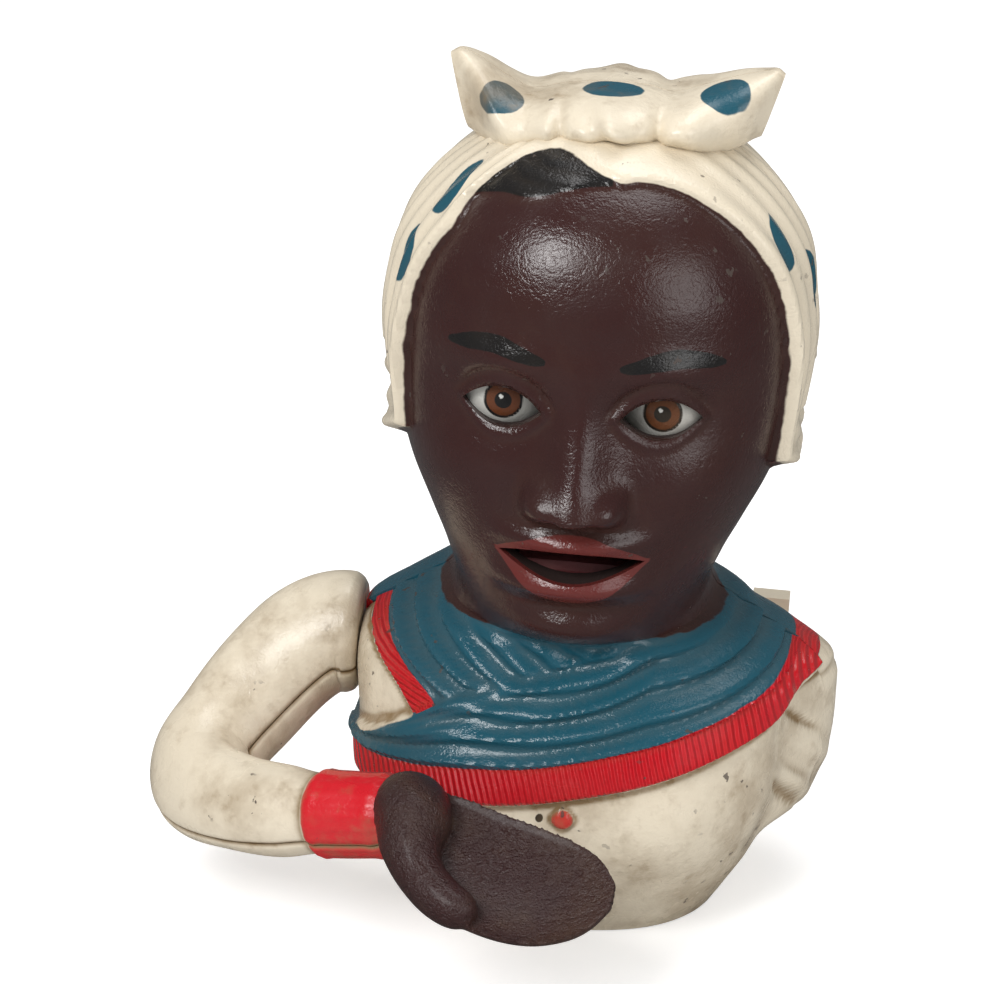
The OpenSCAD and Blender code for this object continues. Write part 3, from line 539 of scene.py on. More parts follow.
def group_cast_grain():
    """The fine sandy skin and slow dents of an iron casting under paint."""
    group, g, given, out = new_group(
        "cast grain", [("Sand", "NodeSocketFloat", 0.25), ("Dents", "NodeSocketFloat", 0.3)],
        [("Normal", "NodeSocketVector")])
    sand = g.noise(2400.0, 2.0, 0.6)
    pits = g.ramp(g.noise(900.0, 2.0, 0.5), 0.34, 0.5)
    height = g.math("ADD", sand, g.math("MULTIPLY", pits, 0.45))
    fine = g.node("ShaderNodeBump", Distance=0.00035)
    g.feed(fine.inputs["Strength"], given.outputs["Sand"])
    g.feed(fine.inputs["Height"], height)
    slow = g.node("ShaderNodeBump", Distance=0.0016)
    g.feed(slow.inputs["Strength"], given.outputs["Dents"])
    g.feed(slow.inputs["Height"], g.noise(120.0, 3.0, 0.5))
    g.feed(slow.inputs["Normal"], fine.outputs["Normal"])
    g.feed(out.inputs["Normal"], slow.outputs["Normal"])
    return group


def group_paint_edge():
    """A brushed paint boundary: 1 inside the line, with a slightly unsteady edge."""
    group, g, given, out = new_group(
        "paint edge", [("Distance", "NodeSocketFloat", 0.0), ("Unsteady", "NodeSocketFloat", 0.3),
                       ("Soft", "NodeSocketFloat", 0.1)], [("Mask", "NodeSocketFloat")])
    shake = g.math("MULTIPLY", g.math("SUBTRACT", g.noise(260.0, 2.0), 0.5), given.outputs["Unsteady"])
    value = g.math("ADD", given.outputs["Distance"], g.math("MULTIPLY", shake, 2.0))
    soft = given.outputs["Soft"]
    g.feed(out.inputs["Mask"], g.ramp(value, g.math("MULTIPLY", soft, -1.0), soft))
    return group


def group_wear_and_shade():
    """Grime and painted shade in the hollows of the paint, small chips down to iron and a slow change of
    tone.
    """
    group, g, given, out = new_group(
        "paint wear and shade", [("Paint", "NodeSocketColor", rgb(1, 1, 1)),
                       ("Grime", "NodeSocketColor", rgb(0.3, 0.22, 0.13)),
                       ("Grime Amount", "NodeSocketFloat", 0.4), ("Chips", "NodeSocketFloat", 0.4),
                       ("Hollow", "NodeSocketFloat", 0.0)],
        [("Color", "NodeSocketColor"), ("Bare", "NodeSocketFloat")])
    cloud = g.ramp(g.noise(48.0, 5.0, 0.62), 0.43, 0.68)
    streak = g.ramp(g.noise(210.0, 4.0, 0.6), 0.52, 0.75)
    dirt_and_shade = g.math("ADD", g.math("MULTIPLY", cloud, 0.55), g.math("MULTIPLY", streak, 0.35))
    # Painted shade: the Hollow input lays the grime colour into recesses, where shade would fall.
    dirt_and_shade = g.math("ADD", dirt_and_shade, g.math("MULTIPLY", given.outputs["Hollow"], 0.9))
    dirt_and_shade = g.math("MULTIPLY", dirt_and_shade, given.outputs["Grime Amount"], clamped=True)
    tone = g.blend(dirt_and_shade, given.outputs["Paint"], given.outputs["Grime"])
    spots = g.noise(330.0, 3.0, 0.55)
    sparse = g.noise(52.0, 2.0, 0.5)
    bare = g.math("MULTIPLY", g.ramp(spots, 0.665, 0.685), g.ramp(sparse, 0.52, 0.6))
    bare = g.math("MULTIPLY", bare, given.outputs["Chips"], clamped=True)
    g.feed(out.inputs["Color"], g.blend(bare, tone, rgb(0.07, 0.05, 0.04)))
    g.feed(out.inputs["Bare"], bare)
    return group


GRAIN, EDGE, WEAR_AND_SHADE = group_cast_grain(), group_paint_edge(), group_wear_and_shade()
CREAM, TEAL, RED = rgb(0.78, 0.69, 0.54), rgb(0.014, 0.09, 0.13), rgb(0.64, 0.009, 0.018)
SKIN, LIP, JET = rgb(0.04, 0.0145, 0.0135), rgb(0.13, 0.025, 0.022), rgb(0.012, 0.011, 0.011)
# The grime colour, laid both as real grime and as painted shade in hollows.
GRIME_AND_SHADE_TONE = rgb(0.27, 0.18, 0.09)


def new_material(name):
    material = bpy.data.materials.new(name)
    material.use_nodes = True
    g = Graph(material.node_tree)
    shader = next(n for n in material.node_tree.nodes if n.type == "BSDF_PRINCIPLED")
    return material, g, shader


def edge_mask(g, field, unsteady=0.25, soft=0.12):
    return g.use(EDGE, Distance=g.field(field), Unsteady=unsteady, Soft=soft).outputs["Mask"]


def painted(g, ground, *layers):
    """Colours laid over a ground, each inside its own field."""
    for field, unsteady, colour in layers:
        ground = g.blend(edge_mask(g, field, unsteady), ground, colour)
    return ground


def finish_paint(g, shader, paint, grime=0.5, chips=0.7, sand=0.18, dents=0.3, gloss=0.3, hollow=0.0):
    """Worn enamel over cast iron, with grime, and painted shade in the hollows given."""
    worn_and_shaded = g.use(WEAR_AND_SHADE, Paint=paint, Grime=GRIME_AND_SHADE_TONE, Grime_Amount=grime, Chips=chips, Hollow=hollow)
    g.feed(shader.inputs["Base Color"], worn_and_shaded.outputs["Color"])
    rough = g.math("ADD", g.ramp(g.noise(90.0, 3.0), 0.3, 0.7, gloss - 0.07, gloss + 0.12),
                   g.math("MULTIPLY", worn_and_shaded.outputs["Bare"], 0.35), clamped=True)
    g.feed(shader.inputs["Roughness"], rough)
    g.feed(shader.inputs["Normal"], g.use(GRAIN, Sand=sand, Dents=dents).outputs["Normal"])
    shader.inputs["Coat Weight"].default_value = 0.12
    shader.inputs["Coat Roughness"].default_value = 0.2


def iron_material():
    material, g, shader = new_material("bare cast iron")
    rust = g.ramp(g.noise(160.0, 4.0), 0.48, 0.68)
    g.feed(shader.inputs["Base Color"], g.blend(rust, rgb(0.1, 0.09, 0.085), rgb(0.11, 0.05, 0.025)))
    g.feed(shader.inputs["Metallic"], g.ramp(rust, 0.0, 1.0, 0.75, 0.1))
    g.feed(shader.inputs["Roughness"], g.ramp(rust, 0.0, 1.0, 0.45, 0.8))
    g.feed(shader.inputs["Normal"], g.use(GRAIN, Sand=0.4, Dents=0.3).outputs["Normal"])
    return material


# ---- the two castings of the bust ------------------------
def casting(name, start, cols_out, heights, shift, angles):
    """Half of the hollow bust: the outer skin, the seam's flat face and the inner skin in one wall."""
    cols_in = 30
    cols, rows = cols_out + cols_in + 2, len(heights) - 1

    def shape(u, v):
        k = np.rint(u * cols).astype(int) % cols
        z = np.asarray(heights)[np.rint(v * rows).astype(int)]
        outer = k <= cols_out
        turn = np.where(outer, angles[np.minimum(k, cols_out)], 90 - 180 * (k - cols_out - 1) / cols_in)
        skin, lining = bust_points(start + turn, z), inner_points(start + turn, z)
        lining[:, :2] *= np.where(z > CROWN_Z, 0.9, 1.0)[:, None]
        lining[:, 2] = z - (WALL + 1) * ease((z - level(0.8)) / (0.2 * SKULL))
        points = np.where(outer[:, None], skin, lining)
        points[:, 1] += shift
        return points

    return wrapped_grid(name, cols, rows, shape)


def even_angles(n):
    return np.linspace(-90, 90, n + 1)


def dense_angles(n):
    """Angles that lie closer together at the front."""
    t = np.linspace(-1, 1, n + 1)
    return 90 * (0.7 * t + 0.3 * t ** 3)


def note_paint(obj, shift):
    """Works out every paint boundary's distance for the points of a casting."""
    p = coords(obj) / MM
    x, y, z = p[:, 0], p[:, 1] - shift, p[:, 2]
    a = np.degrees(np.arctan2(x, -y))
    r = np.hypot(x, y)
    back = y > 0
    depth = plain_radius(a, z) + relief(a, z) - r
    shoulder_seat = (np.hypot(y, z - SHAFT_Z) < 11) & (x < -41)
    outward = np.abs(x) - 16
    brow_line = BROW_Z + 2.4 + 2.2 * bell(np.abs(x) - 17, 7)
    brow = 1.7 * np.sqrt(clamp(1 - (outward / 9.5) ** 2)) - np.abs(z - brow_line)
    half = (np.where(z > MOUTH_Z, 3.2, 4.2) * clamp(1 - (x / (MOUTH_W / 2 + 1.6)) ** 2)
            + MOUTH_H / 2 * clamp(1 - (2 * x / MOUTH_W) ** 2))
    lips = half - np.abs(z - MOUTH_Z - 0.8 * (2 * x / MOUTH_W) ** 2)
    # How deep a point sits in a hollow; grime and painted shade are laid there by this amount.
    around = relief(a + 1.5, z) + relief(a - 1.5, z) + relief(a, z + 1.2) + relief(a, z - 1.2)
    fields = {
        "wrap": np.where(z > level(0.2), wrap_edge(a, z), -20),
        "head": z - (CHIN + 1.6 + 7 * ease((np.abs(a) - 84) / 45) - 0.1 * np.abs(x)),
        "shawl": shawl_edge(x, z, back) - 1.5 * shoulder_seat,
        "fringe": fringe_edge(x, z, back),
        "hair": hair_edge(a, z),
        "brow": np.where((np.abs(outward) < 9.5) & ~back, brow, -2),
        "lips": np.where(back, -2, lips),
        "button": np.where(back, -2, BUTTON_R - np.hypot(x - BUTTON_X, z - BUTTON_Z)),
        # A small black spot painted where a hole shows dark: painted shade.
        "spot": np.where(back, -2, 1.0 - np.hypot((x + 2.6) / 0.75, z - 28.7)),
        "run": fringe_run(x, z, back),
        "dots": dot_edge(a, z),
        # Depth below the outer skin: the inner walls and the cut faces of the openings are painted
        # near-black there as painted shade.
        "inside": depth - 1.2,
        "hollow": clamp((around - 4 * relief(a, z)) * 1.1)}
    for name, values in fields.items():
        note_field(obj, name, values)


# Painted dots of the wrap: angle round the head, height, half width and half height
WRAP_DOTS = [(-57, 142.7, 3.0, 4.6), (-63.5, 129.3, 3.0, 5.3), (65, 136.5, 2.6, 5.0), (84, 126, 3.4, 5.7),
             (118, 132, 3.6, 4.6), (150, 114, 3.8, 4.8), (178, 119, 3.8, 4.6), (-150, 120, 3.6, 5.0),
             (-108, 136, 3.8, 4.6), (-92, 110, 3.2, 5.0), (100, 100, 3.2, 4.6), (165, 92, 3.6, 4.4),
             (-170, 96, 3.6, 4.6), (-128, 100, 3.4, 4.8), (142, 147, 4.0, 3.6), (-140, 149, 4.0, 3.6)]


def dot_edge(a, z):
    """Distance inside the nearest painted dot of the head wrap."""
    best = np.full_like(z, -9.0)
    for angle, height, wide, tall in WRAP_DOTS:
        turn = (a - angle + 180) % 360 - 180
        across = turn * 0.66
        d = 1 - (np.abs(across / wide) ** 2.4 + np.abs((z - height) / tall) ** 2.4) ** (1 / 2.4)
        best = np.maximum(best, d * min(wide, tall))
    return best


def spaced_heights(*bands):
    """Heights of a casting's rows, from bands of (start, number of rows)."""
    ends = [start for start, _ in bands[1:]]
    rows = [np.linspace(start, end, n, endpoint=False) for (start, n), end in zip(bands, ends)]
    return np.concatenate(rows + [np.linspace(bands[-1][0], HEAD_TOP, bands[-1][1])])


def shoulder_cutters():
    """The round seat and the bore of the moving arm's shoulder."""
    return [rod("shoulder seat", (-TORSO_W - 14, 0, SHAFT_Z), (-TORSO_W + 1, 0, SHAFT_Z), 16, 96),
            rod("shaft bore", (-TORSO_W - 4, 0, SHAFT_Z), (-TORSO_W + 12, 0, SHAFT_Z), 2.6)]


def front_casting():
    heights = spaced_heights((0, 22), (24, 84), (CHIN + 2, 124), (CROWN_Z, 18))
    obj = casting("bust_front", 0, 200, heights, -SEAM / 2, dense_angles(200))
    tools = [cutter("mouth cut", lens(MOUTH_W, MOUTH_H, 0.8), 0, MOUTH_Z, -64, -28)]
    for side in (-1, 1):
        tools.append(cutter("eye cut", lens(EYE_W, EYE_H), side * EYE_X, EYE_Z, -64, -29))
        tools.append(ball("eye socket", (side * EYE_X, EYE_Y, EYE_Z), EYE_R + 0.3))
    carve(obj, tools + shoulder_cutters())
    tidy_mesh(obj)
    note_paint(obj, -SEAM / 2)
    return obj


def back_casting():
    heights = spaced_heights((0, 64), (CHIN, 84), (CROWN_Z, 16))
    obj = casting("bust_back", 180, 130, heights, SEAM / 2, even_angles(130))
    slot = box("lever slot", (TORSO_W - 12.1, 7, SHAFT_Z - 11), (TORSO_W - 7.9, 45, SHAFT_Z + 5.4))
    seats = [rod(f"{name} seat", (x, y, z), (x, 50, z), 3.5)
             for name, x, y, z in (("head screw", 0, 30, HEAD_SCREW_Z),
                                   ("body screw", BODY_SCREW_X, 23, BODY_SCREW_Z))]
    carve(obj, [slot] + shoulder_cutters() + seats)
    tidy_mesh(obj)
    note_paint(obj, SEAM / 2)
    return obj


def bust_material():
    material, g, shader = new_material("painted bust enamel")
    wrap, head = edge_mask(g, "wrap", 0.3), edge_mask(g, "head", 0.3)
    # The black spot beside the button is painted shade of a small hole.
    paint = painted(g, CREAM, ("shawl", 0.3, TEAL), ("fringe", 0.25, RED), ("button", 0.1, RED),
                    ("spot", 0.3, JET))
    face = painted(g, SKIN, ("lips", 0.2, LIP), ("brow", 0.3, JET), ("hair", 0.15, JET))
    cloth = painted(g, CREAM, ("dots", 0.35, TEAL))
    paint = g.blend(head, paint, g.blend(wrap, face, cloth))
    dark = g.math("MULTIPLY", head, g.math("SUBTRACT", 1.0, wrap), clamped=True)
    dark = g.math("MAXIMUM", dark, g.math("MULTIPLY", edge_mask(g, "shawl"), 0.85))
    # Grime and painted shade in hollows: strong on the cream paint, faint on the skin and the shawl.
    grime = g.ramp(dark, 0.0, 1.0, 0.8, 0.03)
    worn_and_shaded = g.use(WEAR_AND_SHADE, Paint=paint, Grime=GRIME_AND_SHADE_TONE, Grime_Amount=grime, Chips=0.8, Hollow=g.field("hollow"))
    # Painted shade: the inner walls and the openings' cut faces turn near-black and matt.
    lining = g.ramp(g.field("inside"), 0.0, 0.5)
    g.feed(shader.inputs["Base Color"], g.blend(lining, worn_and_shaded.outputs["Color"], rgb(0.03, 0.016, 0.014)))
    rough = g.math("ADD", g.ramp(g.noise(90.0, 3.0), 0.3, 0.7, 0.15, 0.3),
                   g.math("MULTIPLY", worn_and_shaded.outputs["Bare"], 0.35))
    matt = g.math("MULTIPLY", lining, 0.4)
    g.feed(shader.inputs["Roughness"], g.math("ADD", rough, matt, clamped=True))
    along = g.math("MULTIPLY", g.field("run"), 4.9)
    ribs = g.math("SINE", g.math("ADD", along, g.math("MULTIPLY", g.noise(150.0, 1.0), 3.0)))
    comb = g.node("ShaderNodeBump", Distance=0.0007, Strength=0.65)
    g.feed(comb.inputs["Height"], g.math("MULTIPLY", ribs, edge_mask(g, "fringe", 0.25, 0.4)))
    g.feed(comb.inputs["Normal"], g.use(GRAIN, Sand=0.26, Dents=0.09).outputs["Normal"])
    g.feed(shader.inputs["Normal"], comb.outputs["Normal"])
    shader.inputs["Coat Weight"].default_value = 0.12
    shader.inputs["Coat Roughness"].default_value = 0.17
    return material


# ---- the knot --------------------------------------------
# Across the knot, from -1 to 1: its top against KNOT_TOP, its foot against HEAD_TOP, and its depth
KNOT_TOPS = [(-1, -0.9), (-0.94, 0), (-0.82, -1.4), (-0.66, -4.4), (-0.5, -6.4), (-0.3, -5), (-0.12, -4.2),
             (0.06, -4.0), (0.2, -4.2), (0.34, -5), (0.5, -3.4), (0.7, -1.2), (0.9, 0.5), (0.96, 0.8),
             (1, 0)]
KNOT_FEET = [(-1, -6), (-0.8, -9.5), (-0.4, -6.5), (0, -3.5), (0.4, -4.5), (0.8, -6), (1, -3)]
KNOT_DEPTHS = [(-1, 3), (-0.9, 7), (-0.7, 12.5), (-0.4, 16.4), (-0.24, 17), (0, 20), (0.24, 17),
               (0.4, 16.4), (0.7, 12.5), (0.9, 7), (1, 3)]
# Painted dots of the knot: centre and reach
KNOT_DOTS = [((-20.3, -8.8, 157.6), (4.2, 4.6, 3.6)), ((-0.4, -4.7, 160.2), (5.8, 4.4, 3)),
             ((20.8, -6.4, 160.4), (4.9, 5.2, 4.2))]
KNOT_BACK_DOTS = [((-20, 12, 154), (4.6, 5, 3.4)), ((3, 16, 154.5), (4.8, 5, 3.2)),
                  ((22, 11, 155), (4.6, 5, 3.4))]


def knot_half(name, side):
    cols_out, cols_flat, rows = 90, 14, 240
    cols = cols_out + cols_flat

    def shape(u, v):
        k = np.rint(u * cols).astype(int) % cols
        w = mix(-1, 1, v)
        w = 0.5 * w + 0.5 * np.sin(w * math.pi / 2)
        top, foot = KNOT_TOP + curve(w, KNOT_TOPS), HEAD_TOP + curve(w, KNOT_FEET)
        depth, mid, half = curve(w, KNOT_DEPTHS), (top + foot) / 2, (top - foot) / 2
        a = np.where(k <= cols_out, -90 + 180 * k / cols_out, 0)
        flat = np.where(k <= cols_out, sind(a), 1 - 2 * (k - cols_out) / cols_flat)
        out = np.where(k <= cols_out, np.maximum(cosd(a), 0) ** 0.8, 0)
        centre = bell(w, 0.2)
        folds = (0.9 * sind(w * 900 + flat * 90) * (1 - centre)
                 + 1.2 * sind(w * 1500 + flat * 160) * centre) * out
        groove = -2.2 * bell(np.abs(w) - 0.3, 0.045) * out
        z = mid + half * flat
        x = w * (KNOT_W - 0.3 * (top - z))
        return np.stack([x, side * (depth * out + folds + groove + SEAM / 2), z], -1)

    obj = wrapped_grid(name, cols, rows, shape)
    p = coords(obj) / MM
    best = np.full(len(p), -9.0)
    for centre, reach in KNOT_DOTS if side < 0 else KNOT_BACK_DOTS:
        best = np.maximum(best, (1 - np.linalg.norm((p - centre) / reach, axis=1)) * min(reach))
    note_field(obj, "dots", best)
    return obj


def cloth_material():
    material, g, shader = new_material("painted wrap enamel")
    finish_paint(g, shader, painted(g, CREAM, ("dots", 0.35, TEAL)), grime=0.85, chips=0.9)
    return material


# ---- the moving arm --------------------------------------
# Stations run from 0 at the shoulder to 10 at the wrist
WRIST = 10.0
RIVET_STATIONS = (2.6, 7.2)
ARM_PATH = [(0, (-TORSO_W + 0.6, 0, SHAFT_Z)), (1, (-47.4, 0, SHAFT_Z - 0.2)), (2, (-53, -1.6, 41)),
            (3, (-59.6, -6, 35)), (4, (-66, -13, 28)), (5, (-69.4, -21.6, 23.4)),
            (6, (-66, -30.6, 22)), (7, (-58.8, -37.4, 23)), (8, (-50.2, -42.4, 25)),
            (9, (-41, -46.6, 27.4)), (10, (-28.6, -51.45, 30.6))]
ARM_RADII = [(0, ARM_R - 1.5), (0.14, ARM_R - 0.5), (0.5, ARM_R + 0.3), (2, ARM_R), (3, ARM_R - 0.5),
             (4, ARM_R - 0.9), (5, ARM_R - 1.2), (6, ARM_R - 1.7), (7, ARM_R - 2.5), (8, CUFF_R + 0.8),
             (8.75, CUFF_R - 0.3), (8.9, CUFF_R + 0.3), (9.8, CUFF_R), (10, CUFF_R - 0.4)]


def unit(v):
    v = np.asarray(v, float)
    return v / np.linalg.norm(v, axis=-1, keepdims=True)


def nearest_rows(points, line):
    """The row of the line nearest to each point, in batches to spare memory."""
    return np.concatenate([np.argmin(((batch[:, None] - line) ** 2).sum(-1), 1)
                           for batch in np.array_split(points, 24)])


PARTING = unit((-0.465, -0.303, 0.832))


def arm_frame(t):
    """Centre, across and outward directions and heading at a station of the arm."""
    t = np.asarray(t, float)
    ahead = unit(curve(np.minimum(t + 0.1, WRIST), ARM_PATH) - curve(np.maximum(t - 0.1, 0), ARM_PATH))
    ahead = unit(mix(np.array((-1.0, 0, 0)), ahead, ease(t / 1.8)[..., None]))
    out = unit(PARTING - (ahead @ PARTING)[..., None] * ahead)
    return curve(t, ARM_PATH), np.cross(out, ahead), out, ahead


def sleeve_folds(a, t):
    """Creases at the elbow and long folds of the moving sleeve."""
    creases = 0.8 * sind(t * 150 + 40 * sind(a)) * bell(t - 5, 1.6) * (0.6 - 0.4 * sind(a + 30))
    long_folds = 0.45 * sind(a * 3 + t * 40) * ease((t - 0.3) / 2) * ease((8 - t) / 1.5)
    return creases + long_folds


def arm_half(name, side):
    cols_out, cols_flat, rows = 56, 14, 170
    cols = cols_out + cols_flat

    def shape(u, v):
        k = np.rint(u * cols).astype(int) % cols
        t = v * WRIST
        centre, across, out, _ = arm_frame(t)
        share = mix(k / cols_out, 0.5 - 0.5 * np.cos(math.pi * k / cols_out), 0.6)
        a = np.where(k <= cols_out, 180 * share, 0) + (0 if side > 0 else 180)
        on_cuff = ease((t - 8.79) / 0.1)
        r = curve(t, ARM_RADII) + sleeve_folds(a, t) * ease((8.75 - t) / 0.5)
        r = r + 0.25 * (bell(t - 8.95, 0.07) + bell(t - 9.85, 0.08)) + 0.06 * sind(a * 22) * on_cuff
        r = r - 0.4 * bell(r * np.abs(sind(a)), 0.55)
        flat = (-1 if side > 0 else 1) * (1 - 2 * (k - cols_out) / cols_flat)
        c = np.where(k <= cols_out, cosd(a), flat)
        s = np.where(k <= cols_out, sind(a), 0)
        return centre + (r * c)[:, None] * across + (r * s + side * SEAM / 2)[:, None] * out

    obj = wrapped_grid(name, cols, rows, shape)
    tools = [box("shaft socket", (-52.3, -2.25, SHAFT_Z - 2.25), (-41, 2.25, SHAFT_Z + 2.25))]
    centre, across, out, ahead = arm_frame(WRIST)
    tools.append(rod("hand socket", centre - 10.3 * ahead, centre + 4 * ahead, 3.05))
    if side < 0:
        for t in RIVET_STATIONS:
            c, _, o, _ = arm_frame(t)
            r = float(curve(t, ARM_RADII))
            tools.append(rod("rivet seat", c - o * (r - 1.6), c - o * (r + 4), 3.1))
    carve(obj, tools)
    tidy_mesh(obj)
    stations = np.linspace(0, WRIST, 401)
    line = curve(stations, ARM_PATH)
    p = coords(obj) / MM
    near = stations[nearest_rows(p, line)]
    note_field(obj, "cuff", (near - 8.82) * 8)
    _, _, out, _ = arm_frame(near)
    parting = np.abs(((p - curve(near, ARM_PATH)) * out).sum(-1))
    # Grime and painted shade in the cuff groove, at the elbow and along the parting seam.
    crease_soil_and_shade = bell(near - 8.76, 0.06) + 0.15 * bell(near - 5, 1.4) + 1.4 * bell(parting, 0.5)
    note_field(obj, "hollow", clamp(crease_soil_and_shade))
    return obj


def sleeve_material():
    material, g, shader = new_material("painted sleeve enamel")
    paint = painted(g, CREAM, ("cuff", 0.25, RED))
    finish_paint(g, shader, paint, grime=0.85, chips=0.9, hollow=g.field("hollow"))
    return material


# ---- the hand --------------------------------------------
# The tables are drawn for a hand of this length; finger gaps are shares of its half width
DRAWN_HAND_L = 47.0
FINGER_GAPS = (-0.46, 0.02, 0.46)
PALM_PATH = [(0, (2.8, -3.35, 0.2)), (0.12, (5.3, -5.55, -0.5)), (0.3, (11.3, -9.75, -1.8)),
             (0.5, (19.8, -13.35, -3.2)), (0.7, (28.8, -15.55, -4)), (0.87, (36.6, -16.35, -4.1)),
             (1, (42.2, -16.35, -4.1))]
PALM_WIDTHS = [(0, 4), (0.06, 7.5), (0.16, PALM_W / 2 - 3), (0.3, PALM_W / 2 - 0.6), (0.48, PALM_W / 2),
               (0.68, PALM_W / 2 - 0.7), (0.84, PALM_W / 2 - 3.2), (0.93, PALM_W / 2 - 6.4), (1, 2.6)]
PALM_BELLIES = [(0, 4), (0.1, 6), (0.35, 6), (0.6, 5.4), (0.85, 4), (0.95, 2.8), (1, 1.4)]
PALM_DISHES = [(0, 0), (0.1, 1), (0.3, 2.6), (0.55, 2.8), (0.8, 2.2), (0.94, 1), (1, 0.2)]
PALM_U, PALM_V = unit((0.06, 0.88, 0.47)), unit((0, -0.47, 0.88))
THUMB_PATH = [(0, (0.2, -0.1, 0)), (0.14, (2.48, -2.05, 2.12)), (0.28, (3.6, -5.75, 2)),
              (0.42, (4, -10.75, -0.2)), (0.58, (6.4, -15.75, -3.2)), (0.78, (11.2, -20.35, -5.8)),
              (1, (17.4, -23.75, -7.2))]
THUMB_RADII = [(0, CUFF_R - 1), (0.14, 7.6), (0.28, 7.2), (0.42, 5.8), (0.58, 4.6), (0.78, 4.2),
               (0.92, 3.6), (0.98, 2.2), (1, 0.9)]


def from_wrist(table, t):
    """A curve of points that starts at the wrist."""
    start, _, _, ahead = arm_frame(WRIST)
    return start + 0.15 * ahead + curve(t, table) * HAND_L / DRAWN_HAND_L


def palm_shape(u, v):
    k = np.rint(u * 96).astype(int) % 96
    t = 1 - (1 - v) ** 1.25
    on_top = k <= 56
    s = np.where(on_top, cosd(180 * k / 56), -cosd(180 * (k - 56) / 40))
    q = np.sqrt(np.maximum(0, 1 - s * s))
    top, low = 1.2 - curve(t, PALM_DISHES) * q ** 0.7, -curve(t, PALM_BELLIES) * q
    return (from_wrist(PALM_PATH, t) + (curve(t, PALM_WIDTHS) * s)[:, None] * PALM_U
            + np.where(on_top, top, low)[:, None] * PALM_V)


def thumb_shape(u, v):
    """The heel and thumb along the palm's near side."""
    t = 1 - (1 - v) ** 1.3
    first = arm_frame(WRIST)[3]
    ahead = curve(np.minimum(t + 0.02, 1), THUMB_PATH) - curve(np.maximum(t - 0.02, 0), THUMB_PATH)
    ahead = unit(mix(first, unit(ahead), ease(t / 0.12)[:, None]))
    up = unit(np.array((0, 0, 1.0)) - ahead[:, 2:] * ahead)
    r = (curve(t, THUMB_RADII) * HAND_L / DRAWN_HAND_L)[:, None]
    ring = cosd(360 * u)[:, None] * np.cross(up, ahead) + sind(360 * u)[:, None] * up
    return from_wrist(THUMB_PATH, t) + r * ring


def hand():
    """The dished palm with a heel and thumb rolled round its near side, blended as one casting."""
    start, _, _, ahead = arm_frame(WRIST)
    pieces = [wrapped_grid("dished_hand", 96, 90, palm_shape),
              wrapped_grid("thumb roll", 48, 90, thumb_shape),
              rod("tang", start - 10 * ahead, start + 4 * ahead, 3.0)]
    obj = pieces[0]
    pick_only(obj)
    for piece in pieces:
        piece.select_set(True)
    bpy.ops.object.join()
    apply_modifier(obj, "REMESH", mode="VOXEL", voxel_size=0.00038)
    apply_modifier(obj, "SMOOTH", factor=0.5, iterations=16)
    p = coords(obj) / MM
    steps = np.linspace(0.3, 1, 141)
    line = from_wrist(PALM_PATH, steps)
    near = nearest_rows(p, line)
    t = steps[near]
    s = ((p - line[near]) @ PALM_U) / np.maximum(curve(t, PALM_WIDTHS), 3)
    top = ease(((p - line[near]) @ PALM_V + 3.2) / 2)
    grooves = sum(bell(s - at - 0.1 * (t - 0.8), 0.05) for at in FINGER_GAPS)
    dent = 0.12 * grooves * ease((t - 0.7) / 0.14)
    p -= (dent * top)[:, None] * PALM_V
    tips = sum(bell(s - at, 0.09) for at in FINGER_GAPS) * ease((t - 0.9) / 0.08)
    p -= (0.35 * tips)[:, None] * unit(line[-1] - line[-30])
    set_coords(obj, p * MM)
    tidy_mesh(obj, 50)
    return obj


def skin_material():
    material, g, shader = new_material("painted hand enamel")
    finish_paint(g, shader, SKIN, grime=0.15, chips=0.5, sand=1.0, dents=0.12, gloss=0.34)
    return material


# ---- the rolling eyes ------------------------------------
def eyeball(name, side):
    """An eye with its bore, flat inner side, painted rings and a painted highlight dot."""
    obj = ball(name, (side * EYE_X, EYE_Y, EYE_Z), EYE_R, 128)
    inner = 5.6
    tool = box("inner flat", (-inner, -60, 80), (inner, 0, 140))
    carve(obj, [tool, rod("axle bore", (-40, EYE_Y, EYE_Z), (40, EYE_Y, EYE_Z), 1.23)])
    tidy_mesh(obj)
    p = coords(obj) / MM - np.array((side * EYE_X, EYE_Y, EYE_Z))
    gaze = unit((0.0, -1.0, 0.02))
    angle = np.degrees(np.arccos(np.clip(unit(p) @ gaze, -1, 1)))
    arc = angle * math.pi / 180 * EYE_R
    note_field(obj, "iris", 3.5 - arc)
    note_field(obj, "pupil", 1.6 - arc)
    note_field(obj, "rim", 0.3 - np.abs(arc - 3.45))
    # Painted highlight: a small pale dot on the pupil.
    note_field(obj, "glint", np.where(p[:, 1] < 0, 0.45 - np.hypot(p[:, 0] + 0.4, p[:, 2] - 0.9), -1))
    return obj


def eye_material():
    material, g, shader = new_material("painted eye enamel")
    paint = painted(g, rgb(0.55, 0.54, 0.5), ("iris", 0.1, rgb(0.13, 0.04, 0.015)),
                    ("rim", 0.05, JET), ("pupil", 0.05, JET))
    # The painted highlight dot on the pupil.
    paint = g.blend(edge_mask(g, "glint", 0.05, 0.1), paint, rgb(0.7, 0.7, 0.66))
    finish_paint(g, shader, paint, grime=0.25, chips=0.2, sand=0.15, gloss=0.2)
    return material


def plain_paint(name, colour, **look):
    material, g, shader = new_material(name)
    finish_paint(g, shader, colour, **look)
    return material


# ---- putting it together ---------------------------------
def put(obj, body, material, *nodes, slot=None):
    """Gives a piece its finish and body and hides the CAD nodes it replaces; the slot argument is not
    used.
    """
    obj.data.materials.clear()
    obj.data.materials.append(material)
    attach(obj, body)
    if nodes:
        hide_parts(*nodes)


def dress_nodes(names, material):
    """Gives carried-over CAD pieces their finish."""
    for name in names:
        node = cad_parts[name]
        for item in node.material_slots:
            item.link = "DATA"
            item.material = material


